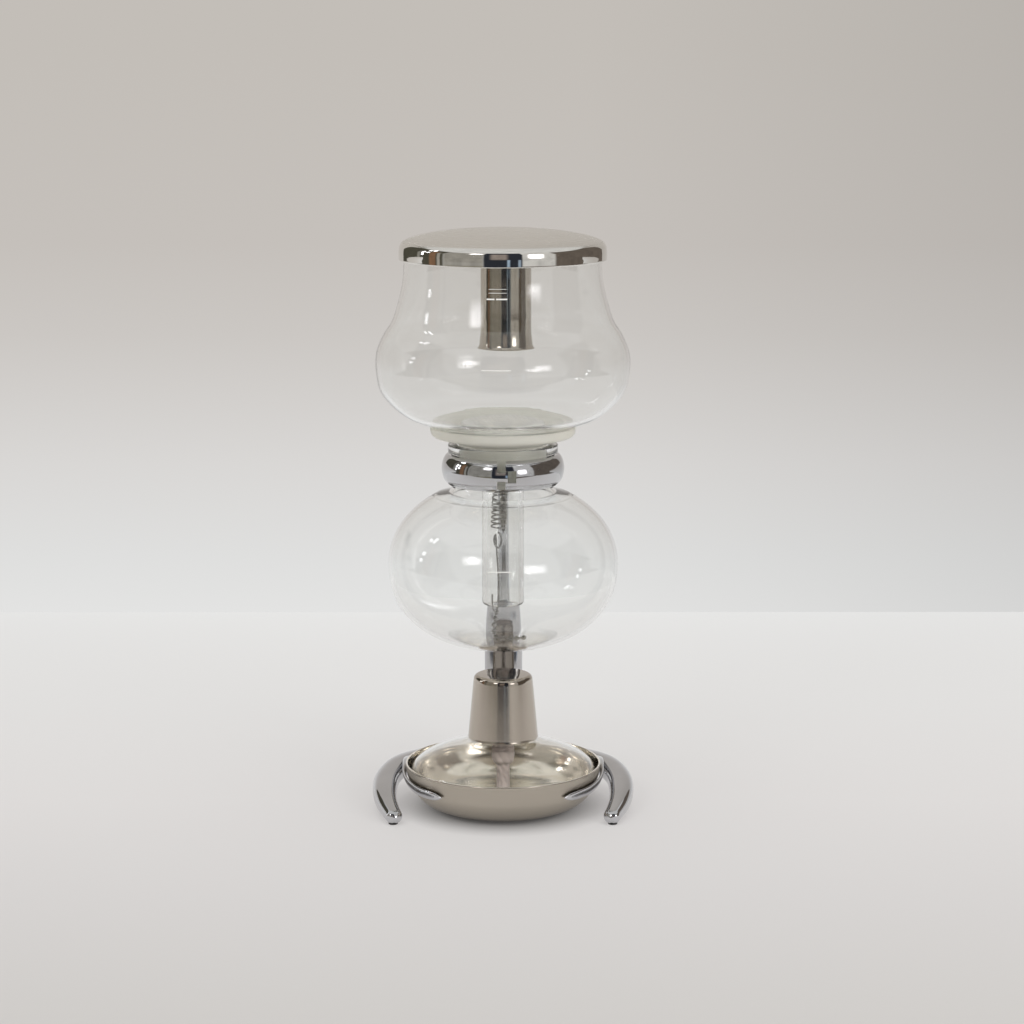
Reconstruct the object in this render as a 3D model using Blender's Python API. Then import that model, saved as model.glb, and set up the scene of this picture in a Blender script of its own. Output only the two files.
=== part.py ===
"""Table-top vacuum coffee brewer: two glass bowls on a chromed stand over a spirit lamp.

Frame: +Z up, the table at z = 0, the axis of the bowls and the lamp on the Z axis, the stand's
column behind it at +Y. Lengths are millimetres times MM, so every mesh is in metres.
"""
import math

import bmesh
import bpy
from mathutils import Matrix, Vector

MM = 0.001

# --- driving dimensions, in millimetres -------------------------------------------------------
GAP = 0.3                    # between pieces that touch
CUTTER_PASS = 5.0            # how far a cutter reaches past what it cuts
ROUND_STEPS = 24             # segments round the large turned pieces
SMALL_STEPS = 20             # segments round the small ones

LID_RADIUS = 56.8
LID_EDGE_Z = 307.3
LID_TOP_Z = 324.5
LID_SHEET = 1.2
LID_TUBE_RADIUS = 13.9
LID_TUBE_LIP_RADIUS = 15.9
LID_TUBE_TOP_Z = 322.2       # its flange is welded under the lid's sheet
LID_TUBE_BOTTOM_Z = 259.0
LID_TUBE_WALL = 1.0
LID_TUBE_X = 1.7             # the tube is welded this far off the lid's centre

BOWL_WALL = 2.0
BOWL_RIM_RADIUS = 54.0
BOWL_RIM_Z = 314.0
BOWL_BELLY_RADIUS = 69.6
STEM_RADIUS = 11.6
STEM_BORE_RADIUS = 8.9
STEM_END_Z = 116.5

GLOBE_RADIUS = 63.7
GLOBE_CENTRE_Z = 139.5
GLOBE_LOWER_HEIGHT = 47.9
GLOBE_UPPER_HEIGHT = 47.0
GLOBE_LOWER_POWER = 2.25     # a fuller curve than an ellipse, whose power is 2
GLOBE_UPPER_POWER = 2.05
GLOBE_WALL = 2.0
NECK_RADIUS = 27.3
NECK_BORE_RADIUS = 24.9
NECK_LIP_RADIUS = 30.3
NECK_LIP_BOTTOM_Z = 201.6
NECK_TOP_Z = 206.2

RING_TOP_Z = 201.2
RING_BOTTOM_Z = 184.4
RING_BULGE_Z = 192.8
RING_TOP_RADIUS = 30.3
RING_BULGE_RADIUS = 33.9
RING_BOTTOM_RADIUS = 29.9
RING_BORE_RADIUS = 28.9
RING_GAP = 4.5               # the open width of the ring's stepped joint
RING_GAP_LEFT_X = -3.0       # where the joint opens above and below its step
RING_STEP = 5.8              # how far the middle of the joint is stepped to the right
RING_STEP_TOP_Z = 195.6
RING_STEP_BOTTOM_Z = 190.0
RING_SLIT = 0.5              # the open height between the two ends' overlap
PAD_DEGREES = (("left", 199), ("right", -19), ("rear_left", 125), ("rear_right", 55))
PAD_HALF_DEGREES = 4.5
PAD_SHOWS = 1.3              # how far a pad shows below the ring
STUD_Z = 192.0               # the headless stud that joins the ring to the column
STUD_END_Y = 38.6
STUD_RADIUS = 1.8
STUD_HOLE_RADIUS = 2.2

PACKING_RIM_RADIUS = 39.8
PACKING_RIM_Z = 216.3
PACKING_PLUG_RADIUS = 24.5
PACKING_PLUG_BOTTOM_Z = 184.0

FILTER_RADIUS = 23.6
FILTER_TOP_Z = 217.4
FILTER_BOTTOM_Z = 211.6
FILTER_STUD_RADIUS = 1.4
FLOW_HOLES = 6
FLOW_HOLE_RADIUS = 3.0
FLOW_HOLE_SHARE = 0.62       # how far out the holes' middles sit, as a share of the disc
SPRING_RADIUS = 4.2
SPRING_WIRE_RADIUS = 0.45
SPRING_TOP_Z = 204.5
SPRING_BOTTOM_Z = 159.0
SPRING_PITCH = 2.5
SPRING_OFFSET_X = -2.5
BEAD_RADIUS = 1.5
BEAD_PITCH = 3.9
CHAIN_WIRE_RADIUS = 0.5
HOOK_WIRE_RADIUS = 0.5

COLUMN_Y = 73.0
COLUMN_WIDTH = 21.8
COLUMN_TOP_WIDTH = 12.0
COLUMN_DEPTH = 7.0
SCREW_RADIUS = 2.0           # the screw up through the hub into the column
SCREW_HOLE_RADIUS = 2.4
SCREW_HEAD_RADIUS = 4.0
SCREW_HEAD_HOLE_RADIUS = 4.6
SCREW_TOP_Z = 29.5

HUB_Y = COLUMN_Y - 1.0       # the screw's line
HUB_Z = 10.6                 # height of the rear hub's middle
HUB_HALF_LENGTH = 14.5
DOWEL_Y = COLUMN_Y - 2.5     # the dowels that join the hub and its arms
DOWEL_RADIUS = 2.0
DOWEL_HOLE_RADIUS = 2.3
DOWEL_START_X = 10.0
DOWEL_END_X = 20.5
ARM_RADIUS = 66.4            # how far an arm's centre line runs from the axis
TOE_PAD_DEGREES = 121.5      # where an arm's pad sits, round from the column
TOE_PAD_REACH = 70.9         # and how far from the axis
PRONG_LEAN = 0.3             # how much a prong's blade leans out, as a slope
DISH_RADIUS = 54.6
DISH_RIM_Z = 25.6
DISH_BASE_RADIUS = 30.0
DISH_BASE_Z = 0.0
DISH_SHEET = 1.0

CAP_TOP_Z = 76.0
CAP_TOP_RADIUS = 16.5
CAP_BOTTOM_Z = 39.9
CAP_BOTTOM_RADIUS = 19.7
CAP_WALL = 1.0

WICK_RADIUS = 5.0
WICK_TOP_Z = 61.0
WICK_BOTTOM_Z = 7.0
WICK_SWELL_RADIUS = 6.4      # the cotton swells below its tube
WICK_SWELL_TOP_Z = 34.2
WICK_SWELL_BOTTOM_Z = 24.5
WICK_TAIL_RADIUS = 3.6
WICK_TUBE_RADIUS = 6.2
RESERVOIR_WALL = 1.8
RESERVOIR_NECK_RADIUS = 14.0
RESERVOIR_NECK_Z = 47.0


# --- materials --------------------------------------------------------------------------------
def material(name, colour, roughness, metallic=0.0, transmission=0.0):
    made = bpy.data.materials.new(name)
    made.use_nodes = True
    shader = made.node_tree.nodes["Principled BSDF"]
    shader.inputs["Base Color"].default_value = (*colour, 1.0)
    shader.inputs["Roughness"].default_value = roughness
    shader.inputs["Metallic"].default_value = metallic
    shader.inputs["Transmission Weight"].default_value = transmission
    return made


def clear_scene():
    for thing in list(bpy.data.objects):
        bpy.data.objects.remove(thing, do_unlink=True)


# --- outlines, as lists of (radius, height) in millimetres ------------------------------------
def smooth_curve(points, steps):
    """A Catmull-Rom curve through the points, with the given steps in each span."""
    points = [Vector(p) for p in points]
    ends = [2 * points[0] - points[1]] + points + [2 * points[-1] - points[-2]]
    curve = []
    for i in range(1, len(ends) - 2):
        a, b, c, d = ends[i - 1:i + 3]
        for k in range(steps):
            t = k / steps
            curve.append(0.5 * (2 * b + (c - a) * t + (2 * a - 5 * b + 4 * c - d) * t ** 2
                                + (3 * b - a - 3 * c + d) * t ** 3))
    return curve + [points[-1]]


def arc(centre, radius, start, end, steps):
    """Points along a circular arc; the angles are degrees from the outward direction."""
    centre = Vector(centre)
    angles = [math.radians(start + (end - start) * k / steps) for k in range(steps + 1)]
    return [centre + radius * Vector((math.cos(a), math.sin(a))) for a in angles]


def offset(outline, distance):
    """The outline moved sideways, to the right of its direction of travel."""
    moved = []
    for i, point in enumerate(outline):
        before = outline[max(i - 1, 0)]
        after = outline[min(i + 1, len(outline) - 1)]
        along = (after - before).normalized()
        moved.append(point + distance * Vector((along.y, -along.x)))
    return moved


def oval(half_width, half_height, centre_z, power, start, end, steps):
    """Points on a superellipse about the axis; start and end are degrees above the equator."""
    points = []
    for k in range(steps + 1):
        angle = math.radians(start + (end - start) * k / steps)
        across = abs(math.cos(angle)) ** (2 / power) * half_width
        up = math.copysign(abs(math.sin(angle)) ** (2 / power), math.sin(angle)) * half_height
        points.append(Vector((across, centre_z + up)))
    return points


# --- solids -----------------------------------------------------------------------------------
def finish_mesh(name, mesh_data, finish, centre=(0, 0, 0), sharp_degrees=35):
    """Turns a bmesh in millimetres into a named, shaded object whose origin is at centre."""
    bmesh.ops.remove_doubles(mesh_data, verts=mesh_data.verts, dist=1e-5)
    bmesh.ops.recalc_face_normals(mesh_data, faces=mesh_data.faces)
    shift = Matrix.Translation(-Vector(centre))
    bmesh.ops.transform(mesh_data, matrix=Matrix.Scale(MM, 4) @ shift, verts=mesh_data.verts)
    mesh = bpy.data.meshes.new(name)
    mesh_data.to_mesh(mesh)
    mesh_data.free()
    mesh.shade_smooth()
    mesh.set_sharp_from_angle(angle=math.radians(sharp_degrees))
    mesh.materials.append(finish)
    made = bpy.data.objects.new(name, mesh)
    made.location = Vector(centre) * MM
    bpy.context.scene.collection.objects.link(made)
    return made


def turned(name, outline, finish, steps=ROUND_STEPS, centre=(0, 0, 0)):
    """A solid of revolution. The outline is closed, or starts and ends on the axis."""
    solid = bmesh.new()
    verts = [solid.verts.new((max(p[0], 0.0), 0, p[1])) for p in outline]
    edges = [solid.edges.new(pair) for pair in zip(verts, verts[1:])]
    if outline[0][0] > 1e-6 or outline[-1][0] > 1e-6:
        edges.append(solid.edges.new((verts[-1], verts[0])))
    bmesh.ops.spin(solid, geom=verts + edges, cent=(0, 0, 0), axis=(0, 0, 1),
                   angle=math.tau, steps=steps, use_merge=True)
    bmesh.ops.translate(solid, verts=solid.verts, vec=centre)
    return finish_mesh(name, solid, finish, centre)


def loft(name, stations, finish, sides=14, power=2.4, centre=(0, 0, 0)):
    """A tapered bar through stations of (centre, side, up, half width, half height)."""
    solid = bmesh.new()
    rings = []
    for middle, side, up, half_width, half_height in stations:
        ring = []
        for k in range(sides):
            angle = math.tau * (k + 0.5) / sides
            across = math.copysign(abs(math.cos(angle)) ** (2 / power), math.cos(angle))
            above = math.copysign(abs(math.sin(angle)) ** (2 / power), math.sin(angle))
            ring.append(solid.verts.new(middle + side * across * half_width
                                        + up * above * half_height))
        rings.append(ring)
    for lower, upper in zip(rings, rings[1:]):
        for k in range(sides):
            j = (k + 1) % sides
            solid.faces.new((lower[k], lower[j], upper[j], upper[k]))
    solid.faces.new(rings[0])
    solid.faces.new(rings[-1])
    return finish_mesh(name, solid, finish, centre, sharp_degrees=50)


def rounded_ends(lengths, radius, at_start, at_end):
    """Scale factors that close a bar's ends like half an ellipse."""
    total = lengths[-1]
    factors = []
    for length in lengths:
        room = min(length if at_start else radius, (total - length) if at_end else radius)
        share = 1 - min(room / radius, 1.0)
        factors.append(max(math.sqrt(max(1 - share * share, 0.0)), 0.12))
    return factors


def bar_along(name, points, finish, side_of, round_length, ends=(True, True), **options):
    """A bar through (x, y, z, half width, half height) points; side_of gives its side."""
    path = smooth_curve(points, 3)
    places = [Vector(p[:3]) for p in path]
    lengths = [0.0]
    for a, b in zip(places, places[1:]):
        lengths.append(lengths[-1] + (b - a).length)
    factors = rounded_ends(lengths, round_length, *ends)
    stations = []
    for i, point in enumerate(path):
        along = (places[min(i + 1, len(places) - 1)] - places[max(i - 1, 0)]).normalized()
        side = side_of(places[i])
        side = (side - along * side.dot(along)).normalized()
        up = along.cross(side).normalized()
        stations.append((places[i], side, up, point[3] * factors[i], point[4] * factors[i]))
    return loft(name, stations, finish, **options)


def wire(name, points, radius, finish, sides=6):
    """A round wire through the points, its ends capped."""
    solid = bmesh.new()
    places = [Vector(p) for p in points]
    side = Vector((0.3, 1.0, 0.2)).normalized()
    rings = []
    for i, place in enumerate(places):
        along = (places[min(i + 1, len(places) - 1)] - places[max(i - 1, 0)]).normalized()
        side = (side - along * side.dot(along)).normalized()
        up = along.cross(side)
        turns = [math.tau * k / sides for k in range(sides)]
        rings.append([solid.verts.new(place + radius * (side * math.cos(a) + up * math.sin(a)))
                      for a in turns])
    for lower, upper in zip(rings, rings[1:]):
        for k in range(sides):
            j = (k + 1) % sides
            solid.faces.new((lower[k], lower[j], upper[j], upper[k]))
    solid.faces.new(rings[0])
    solid.faces.new(rings[-1])
    return finish_mesh(name, solid, finish, sharp_degrees=80)


def block(name, low, high, finish):
    """A box between two corners."""
    solid = bmesh.new()
    bmesh.ops.create_cube(solid, size=1.0)
    low, high = Vector(low), Vector(high)
    size = high - low
    bmesh.ops.scale(solid, vec=size, verts=solid.verts)
    middle = (low + high) / 2
    bmesh.ops.translate(solid, vec=middle, verts=solid.verts)
    return finish_mesh(name, solid, finish, tuple(middle))


def pin(name, start, end, radius, finish, steps=12):
    """A plain cylinder between two points."""
    start, end = Vector(start), Vector(end)
    solid = bmesh.new()
    turn = Vector((0, 0, 1)).rotation_difference(end - start).to_matrix().to_4x4()
    bmesh.ops.create_cone(solid, cap_ends=True, segments=steps, radius1=radius, radius2=radius,
                          depth=(end - start).length,
                          matrix=Matrix.Translation((start + end) / 2) @ turn)
    return finish_mesh(name, solid, finish, tuple((start + end) / 2))


def combine(target, operation, others):
    """Adds an exact Boolean for each other object, which then stays as a hidden helper."""
    for other in others:
        step = target.modifiers.new(f"{operation.lower()} {other.name}", "BOOLEAN")
        step.operation = operation
        step.solver = "EXACT"
        step.object = other
        other.hide_render = True
        other.display_type = "WIRE"
    return target


# --- the lid ----------------------------------------------------------------------------------
def make_lid(nickel):
    crown = smooth_curve([(0, LID_TOP_Z), (30, 323.3), (50, 319.9), (LID_RADIUS - 1.2, 316.5)], 3)
    skirt = [Vector((LID_RADIUS - 0.2, 314.4)), Vector((LID_RADIUS, LID_EDGE_Z + 0.9)),
             Vector((LID_RADIUS - 0.6, LID_EDGE_Z))]
    outer = crown + skirt
    inner = offset(outer, LID_SHEET)
    inner[0].x = 0
    turned("lid_cover", outer + list(reversed(inner)), nickel)

    tube_top = LID_TUBE_TOP_Z
    wall = LID_TUBE_WALL
    outer = [Vector((17.5, tube_top)), Vector((17.5, tube_top - 1.0)),
             Vector((LID_TUBE_RADIUS + 0.6, tube_top - 1.6)),
             Vector((LID_TUBE_RADIUS, tube_top - 3.0))]
    outer += smooth_curve([(LID_TUBE_RADIUS, 268.0), (LID_TUBE_RADIUS + 0.4, 263.2),
                           (LID_TUBE_LIP_RADIUS, LID_TUBE_BOTTOM_Z)], 2)
    inner = [Vector((LID_TUBE_LIP_RADIUS - wall, LID_TUBE_BOTTOM_Z)),
             Vector((LID_TUBE_RADIUS - wall, 266.0)), Vector((LID_TUBE_RADIUS - wall, tube_top))]
    turned("lid_stand_tube", outer + inner, nickel, steps=SMALL_STEPS, centre=(LID_TUBE_X, 0, 0))


# --- the upper bowl and what it carries -------------------------------------------------------
def bowl_outline():
    """The upper bowl's outer surface, from its rim to the foot of its neck."""
    body = [(BOWL_RIM_RADIUS, BOWL_RIM_Z - 1), (BOWL_RIM_RADIUS, 307), (55.0, 294.3),
            (59.9, 276.0), (65.2, 267.0), (69.2, 257.5), (BOWL_BELLY_RADIUS, 247.0),
            (66.5, 234.5), (55.0, 223.1), (41.0, 217.2), (30.0, 213.2)]
    neck = [(26.4, 210.6), (20.0, 208.4), (14.6, 206.2), (STEM_RADIUS, 200.0)]
    return smooth_curve(body, 2) + [Vector(p) for p in neck]


def make_bowl(glass):
    outer = bowl_outline() + [Vector((STEM_RADIUS, STEM_END_Z + 1.0))]
    inner = offset(outer, BOWL_WALL)
    throat = next(i for i, p in enumerate(inner) if p.x < 16)
    inner = inner[:throat] + [Vector((12.0, 209.0)), Vector((STEM_BORE_RADIUS, 203.0)),
                              Vector((STEM_BORE_RADIUS, STEM_END_Z + 1.0))]
    end = arc(((STEM_RADIUS + STEM_BORE_RADIUS) / 2, STEM_END_Z + 1.0),
              (STEM_RADIUS - STEM_BORE_RADIUS) / 2, 0, -180, 4)[1:-1]
    rim = arc((BOWL_RIM_RADIUS - BOWL_WALL / 2, BOWL_RIM_Z - 1), BOWL_WALL / 2, 180, 0, 4)[1:-1]
    turned("upper_bowl", outer + end + list(reversed(inner)) + rim, glass)


def make_packing(silicone):
    seat = [p for p in offset(bowl_outline(), -GAP) if 12.5 < p.x < PACKING_RIM_RADIUS]
    seat = [Vector((PACKING_RIM_RADIUS, PACKING_RIM_Z))] + seat
    bore = [Vector((STEM_RADIUS + GAP + 0.2, 199.8)),
            Vector((STEM_RADIUS + GAP + 0.2, PACKING_PLUG_BOTTOM_Z))]
    plug = [(21.6, PACKING_PLUG_BOTTOM_Z), (22.8, 186.0), (PACKING_PLUG_RADIUS, NECK_TOP_Z + 0.2)]
    flange = [(25.6, 207.4), (27.5, 208.0), (31.0, 208.8), (36.2, 210.2), (38.4, 210.9),
              (39.6, 212.4), (PACKING_RIM_RADIUS + 0.3, PACKING_RIM_Z - 0.7)]
    turned("silicone_packing", seat + bore + [Vector(p) for p in plug + flange], silicone)


def make_filter(steel, cotton):
    edge = FILTER_RADIUS
    top, bottom = FILTER_TOP_Z, FILTER_BOTTOM_Z
    cloth = [(0, top), (edge - 1.2, top), (edge, top - 1.4), (edge, bottom + 1.4),
             (edge - 1.4, bottom), (13.0, bottom), (13.0, bottom + 0.7), (edge - 1.9, bottom + 0.7),
             (edge - 0.7, bottom + 1.7), (edge - 0.7, top - 1.7), (edge - 1.6, top - 0.7),
             (0, top - 0.7)]
    turned("filter_cloth", cloth, cotton, steps=20)
    perforated_disc("filter_disc_upper", top - 2.2, top - 1.0, edge - 1.8, steel)
    perforated_disc("filter_disc_lower", bottom + 1.0, bottom + 2.0, edge - 2.6, steel)
    stud = [(0, top - 2.5), (3.2, top - 2.5), (3.2, top - 3.4), (FILTER_STUD_RADIUS, top - 3.4),
            (FILTER_STUD_RADIUS, SPRING_TOP_Z + 1.2), (0, SPRING_TOP_Z + 1.2)]
    turned("filter_stud", [Vector(p) for p in stud], steel, steps=12)


def perforated_disc(name, low, high, radius, steel):
    """A thin disc with a centre hole for the stud and a ring of flow holes."""
    bore = FILTER_STUD_RADIUS + GAP
    outline = [Vector(p) for p in ((bore, high), (radius, high), (radius, low), (bore, low))]
    disc = turned(name, outline, steel, steps=20)
    cutters = []
    for k in range(FLOW_HOLES):
        angle = math.tau * (k + 0.4) / FLOW_HOLES
        x, y = (FLOW_HOLE_SHARE * radius * part for part in (math.cos(angle), math.sin(angle)))
        cutters.append(pin(f"{name}_flow_hole_{k}", (x, y, low - 1), (x, y, high + 1),
                           FLOW_HOLE_RADIUS, steel, steps=6))
    return combine(disc, "DIFFERENCE", cutters)


def spring_points():
    """Points down the spring's wire; its axis leans from the stud towards the hook."""
    length = SPRING_TOP_Z - SPRING_BOTTOM_Z
    turns = length / SPRING_PITCH
    per_turn = 7
    count = int(turns * per_turn)
    points = []
    for k in range(count + 1):
        share = k / count
        angle = math.tau * turns * share
        points.append((SPRING_OFFSET_X * share + SPRING_RADIUS * math.cos(angle),
                       SPRING_RADIUS * math.sin(angle), SPRING_TOP_Z - length * share))
    return points


def make_spring_and_hook(steel):
    wire("filter_spring", spring_points(), SPRING_WIRE_RADIUS, steel, sides=4)
    x, top = SPRING_OFFSET_X - 0.4, SPRING_BOTTOM_Z - 1.5
    eye = [(x + 2.0 * math.sin(a), 0, top - 4.6 + 4.2 * math.cos(a))
           for a in (math.radians(d) for d in range(0, 331, 30))]
    end = STEM_END_Z
    run = smooth_curve([(x - 0.6, 0, top - 9.2), (x + 0.5, -2.0, end + 13.5),
                        (x + 0.4, -4.2, end + 0.5), (x - 0.9, -8.0, end - 2.2),
                        (x - 2.2, -11.6, end - 1.6), (x - 2.9, -12.9, end + 1.4),
                        (x - 3.0, -13.0, end + 7.7)], 3)
    wire("filter_hook", eye + [tuple(p) for p in run], HOOK_WIRE_RADIUS, steel)


def chain_path():
    """The bead chain's centre line: off the hook, down, and along the globe's floor."""
    floor = GLOBE_CENTRE_Z - GLOBE_LOWER_HEIGHT + GLOBE_WALL + BEAD_RADIUS + GAP
    return smooth_curve([(-3.0, -3.0, STEM_END_Z - 0.9), (-4.2, -3.2, 109.0), (-5.2, -3.4, 102.0),
                         (-4.0, -3.6, floor + 1.6), (1.0, -3.8, floor + 0.1),
                         (7.0, -3.6, floor + 0.3), (14.0, -3.0, floor + 0.9)], 12)


def along_path(path, step):
    """Points spaced a fixed length apart along a path."""
    found, wanted, walked = [], 0.0, 0.0
    for a, b in zip(path, path[1:]):
        length = (b - a).length
        while wanted <= walked + length:
            found.append(a.lerp(b, (wanted - walked) / length))
            wanted += step
        walked += length
    return found


def make_bead_chain(steel):
    """Beads on one wire, joined into a single solid."""
    beads = along_path(chain_path(), BEAD_PITCH)
    core = wire("bead_chain", [tuple(p) for p in beads], CHAIN_WIRE_RADIUS, steel, sides=6)
    spheres = []
    for k, place in enumerate(beads):
        ball = bmesh.new()
        bmesh.ops.create_uvsphere(ball, u_segments=7, v_segments=5, radius=BEAD_RADIUS)
        bmesh.ops.translate(ball, verts=ball.verts, vec=place)
        spheres.append(finish_mesh(f"chain_bead_{k}", ball, steel, tuple(place)))
    return combine(core, "UNION", spheres)


# --- the lower globe and its clamp ------------------------------------------------------------
def globe_outline():
    """The lower globe's outer surface, from its lip to the bottom of its axis."""
    lip = [(NECK_LIP_RADIUS - 0.8, NECK_TOP_Z), (NECK_LIP_RADIUS, NECK_TOP_Z - 1.0),
           (NECK_LIP_RADIUS, NECK_LIP_BOTTOM_Z + 0.8), (NECK_LIP_RADIUS - 0.8, NECK_LIP_BOTTOM_Z),
           (NECK_RADIUS + 0.4, NECK_LIP_BOTTOM_Z), (NECK_RADIUS, NECK_LIP_BOTTOM_Z - 0.8)]
    throat = smooth_curve([(NECK_RADIUS, 184.5), (28.6, 181.0), (31.4, 178.6)], 2)
    upper = oval(GLOBE_RADIUS, GLOBE_UPPER_HEIGHT, GLOBE_CENTRE_Z, GLOBE_UPPER_POWER, 54, 0, 6)
    lower = oval(GLOBE_RADIUS, GLOBE_LOWER_HEIGHT, GLOBE_CENTRE_Z, GLOBE_LOWER_POWER, 0, -90, 10)
    return [Vector(p) for p in lip] + throat + upper + lower[1:]


def make_globe(glass):
    outer = globe_outline()
    outer[-1].x = 0
    throat = next(i for i, p in enumerate(outer) if p.y < 183)
    inner = offset(outer[throat:], GLOBE_WALL)
    inner[-1].x = 0
    bore = [Vector((NECK_BORE_RADIUS, 184.5)), Vector((NECK_BORE_RADIUS, NECK_TOP_Z - 0.9)),
            Vector((NECK_BORE_RADIUS + 0.9, NECK_TOP_Z))]
    turned("lower_globe", outer + list(reversed(inner)) + bore, glass)


def make_clamp(chrome, rubber, steel):
    outside = smooth_curve([(RING_TOP_RADIUS, RING_TOP_Z), (33.0, 197.6),
                            (RING_BULGE_RADIUS, RING_BULGE_Z), (32.9, 188.2),
                            (RING_BOTTOM_RADIUS, RING_BOTTOM_Z)], 3)
    inside = [Vector((RING_BORE_RADIUS, RING_BOTTOM_Z)), Vector((RING_BORE_RADIUS, RING_TOP_Z))]
    ring = turned("clamp_ring", outside + inside, chrome, steps=32)
    front, back = -(RING_BULGE_RADIUS + CUTTER_PASS), -(RING_BORE_RADIUS - CUTTER_PASS)
    upper, lower, slit = RING_STEP_TOP_Z, RING_STEP_BOTTOM_Z, RING_SLIT
    left, stepped = RING_GAP_LEFT_X, RING_GAP_LEFT_X + RING_STEP
    spans = (("joint_gap_top", left, left + RING_GAP, upper - slit, RING_TOP_Z + CUTTER_PASS),
             ("joint_gap_middle", stepped, stepped + RING_GAP, lower - slit, upper + slit),
             ("joint_gap_bottom", left, left + RING_GAP, RING_BOTTOM_Z - CUTTER_PASS, lower + slit),
             ("joint_slit_upper", left + 0.1, stepped + RING_GAP - 0.1, upper, upper + slit - 0.05),
             ("joint_slit_lower", left + 0.1, stepped + RING_GAP - 0.1, lower - slit + 0.05, lower))
    cutters = [block(name, (west, front, low), (east, back, high), steel)
               for name, west, east, low, high in spans]
    cutters.append(pin("ring_stud_hole", (0, 20, STUD_Z), (0, 40, STUD_Z), STUD_HOLE_RADIUS, steel))
    combine(ring, "DIFFERENCE", cutters)

    for side, degrees in PAD_DEGREES:
        pad(f"clamp_pad_{side}", degrees, rubber)

    pin("column_stud", (0, RING_BORE_RADIUS + 0.4, STUD_Z), (0, STUD_END_Y, STUD_Z), STUD_RADIUS,
        steel)


def pad(name, degrees, rubber):
    """A small cushion between the ring and the neck, showing just below the ring."""
    inner, outer = NECK_RADIUS + GAP, RING_BORE_RADIUS - GAP
    low, high = RING_BOTTOM_Z - PAD_SHOWS, RING_TOP_Z - 2.5
    solid = bmesh.new()
    columns = []
    for k in range(4):
        angle = math.radians(degrees + PAD_HALF_DEGREES * (2 * k / 3 - 1))
        spoke = Vector((math.cos(angle), math.sin(angle), 0))
        columns.append([solid.verts.new(spoke * r + Vector((0, 0, z)))
                        for r, z in ((inner, low + 3.6), (outer, low), (outer, high), (inner, high))])
    for a, b in zip(columns, columns[1:]):
        for i in range(4):
            j = (i + 1) % 4
            solid.faces.new((a[i], a[j], b[j], b[i]))
    solid.faces.new(columns[0])
    solid.faces.new(columns[-1])
    return finish_mesh(name, solid, rubber)


# --- the stand --------------------------------------------------------------------------------
def column_points():
    """(x, y, z, half width, half depth) up the column, which bows out behind the globe."""
    low, high, deep = COLUMN_WIDTH / 2, COLUMN_TOP_WIDTH / 2, COLUMN_DEPTH / 2
    return [(0, COLUMN_Y - 1.5, HUB_Z + 8.3, low, deep), (0, COLUMN_Y, 50, low, deep),
            (0, COLUMN_Y + 2, 80, low, deep), (0, COLUMN_Y + 3, 104, 0.85 * low, deep),
            (0, COLUMN_Y + 1.5, 130, 0.72 * low, deep), (0, COLUMN_Y - 6, 158, 0.64 * low, deep),
            (0, COLUMN_Y - 19.5, 180, high, deep),
            (0, COLUMN_Y - 30, STUD_Z - 2, high, deep), (0, 34.6, STUD_Z, high, deep)]


def sideways(place):
    return Vector((1, 0, 0))


def outwards(place):
    """The horizontal direction away from the axis."""
    return Vector((place.x, place.y, 0)).normalized()


def leaning(place):
    """Outwards and a little down, square to the wall of the lamp's dish."""
    return outwards(place) - Vector((0, 0, PRONG_LEAN))


def make_column(chrome, steel):
    column = bar_along("stand_column", column_points(), chrome, sideways, 2.0, ends=(False, False),
                       sides=14, power=3.2)
    combine(column, "DIFFERENCE", [
        pin("column_stud_hole", (0, 30, STUD_Z), (0, 40, STUD_Z), STUD_HOLE_RADIUS, steel),
        pin("base_screw_hole", (0, HUB_Y, HUB_Z), (0, HUB_Y, SCREW_TOP_Z + 1.5),
            SCREW_HOLE_RADIUS, steel)])
    return column


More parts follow.
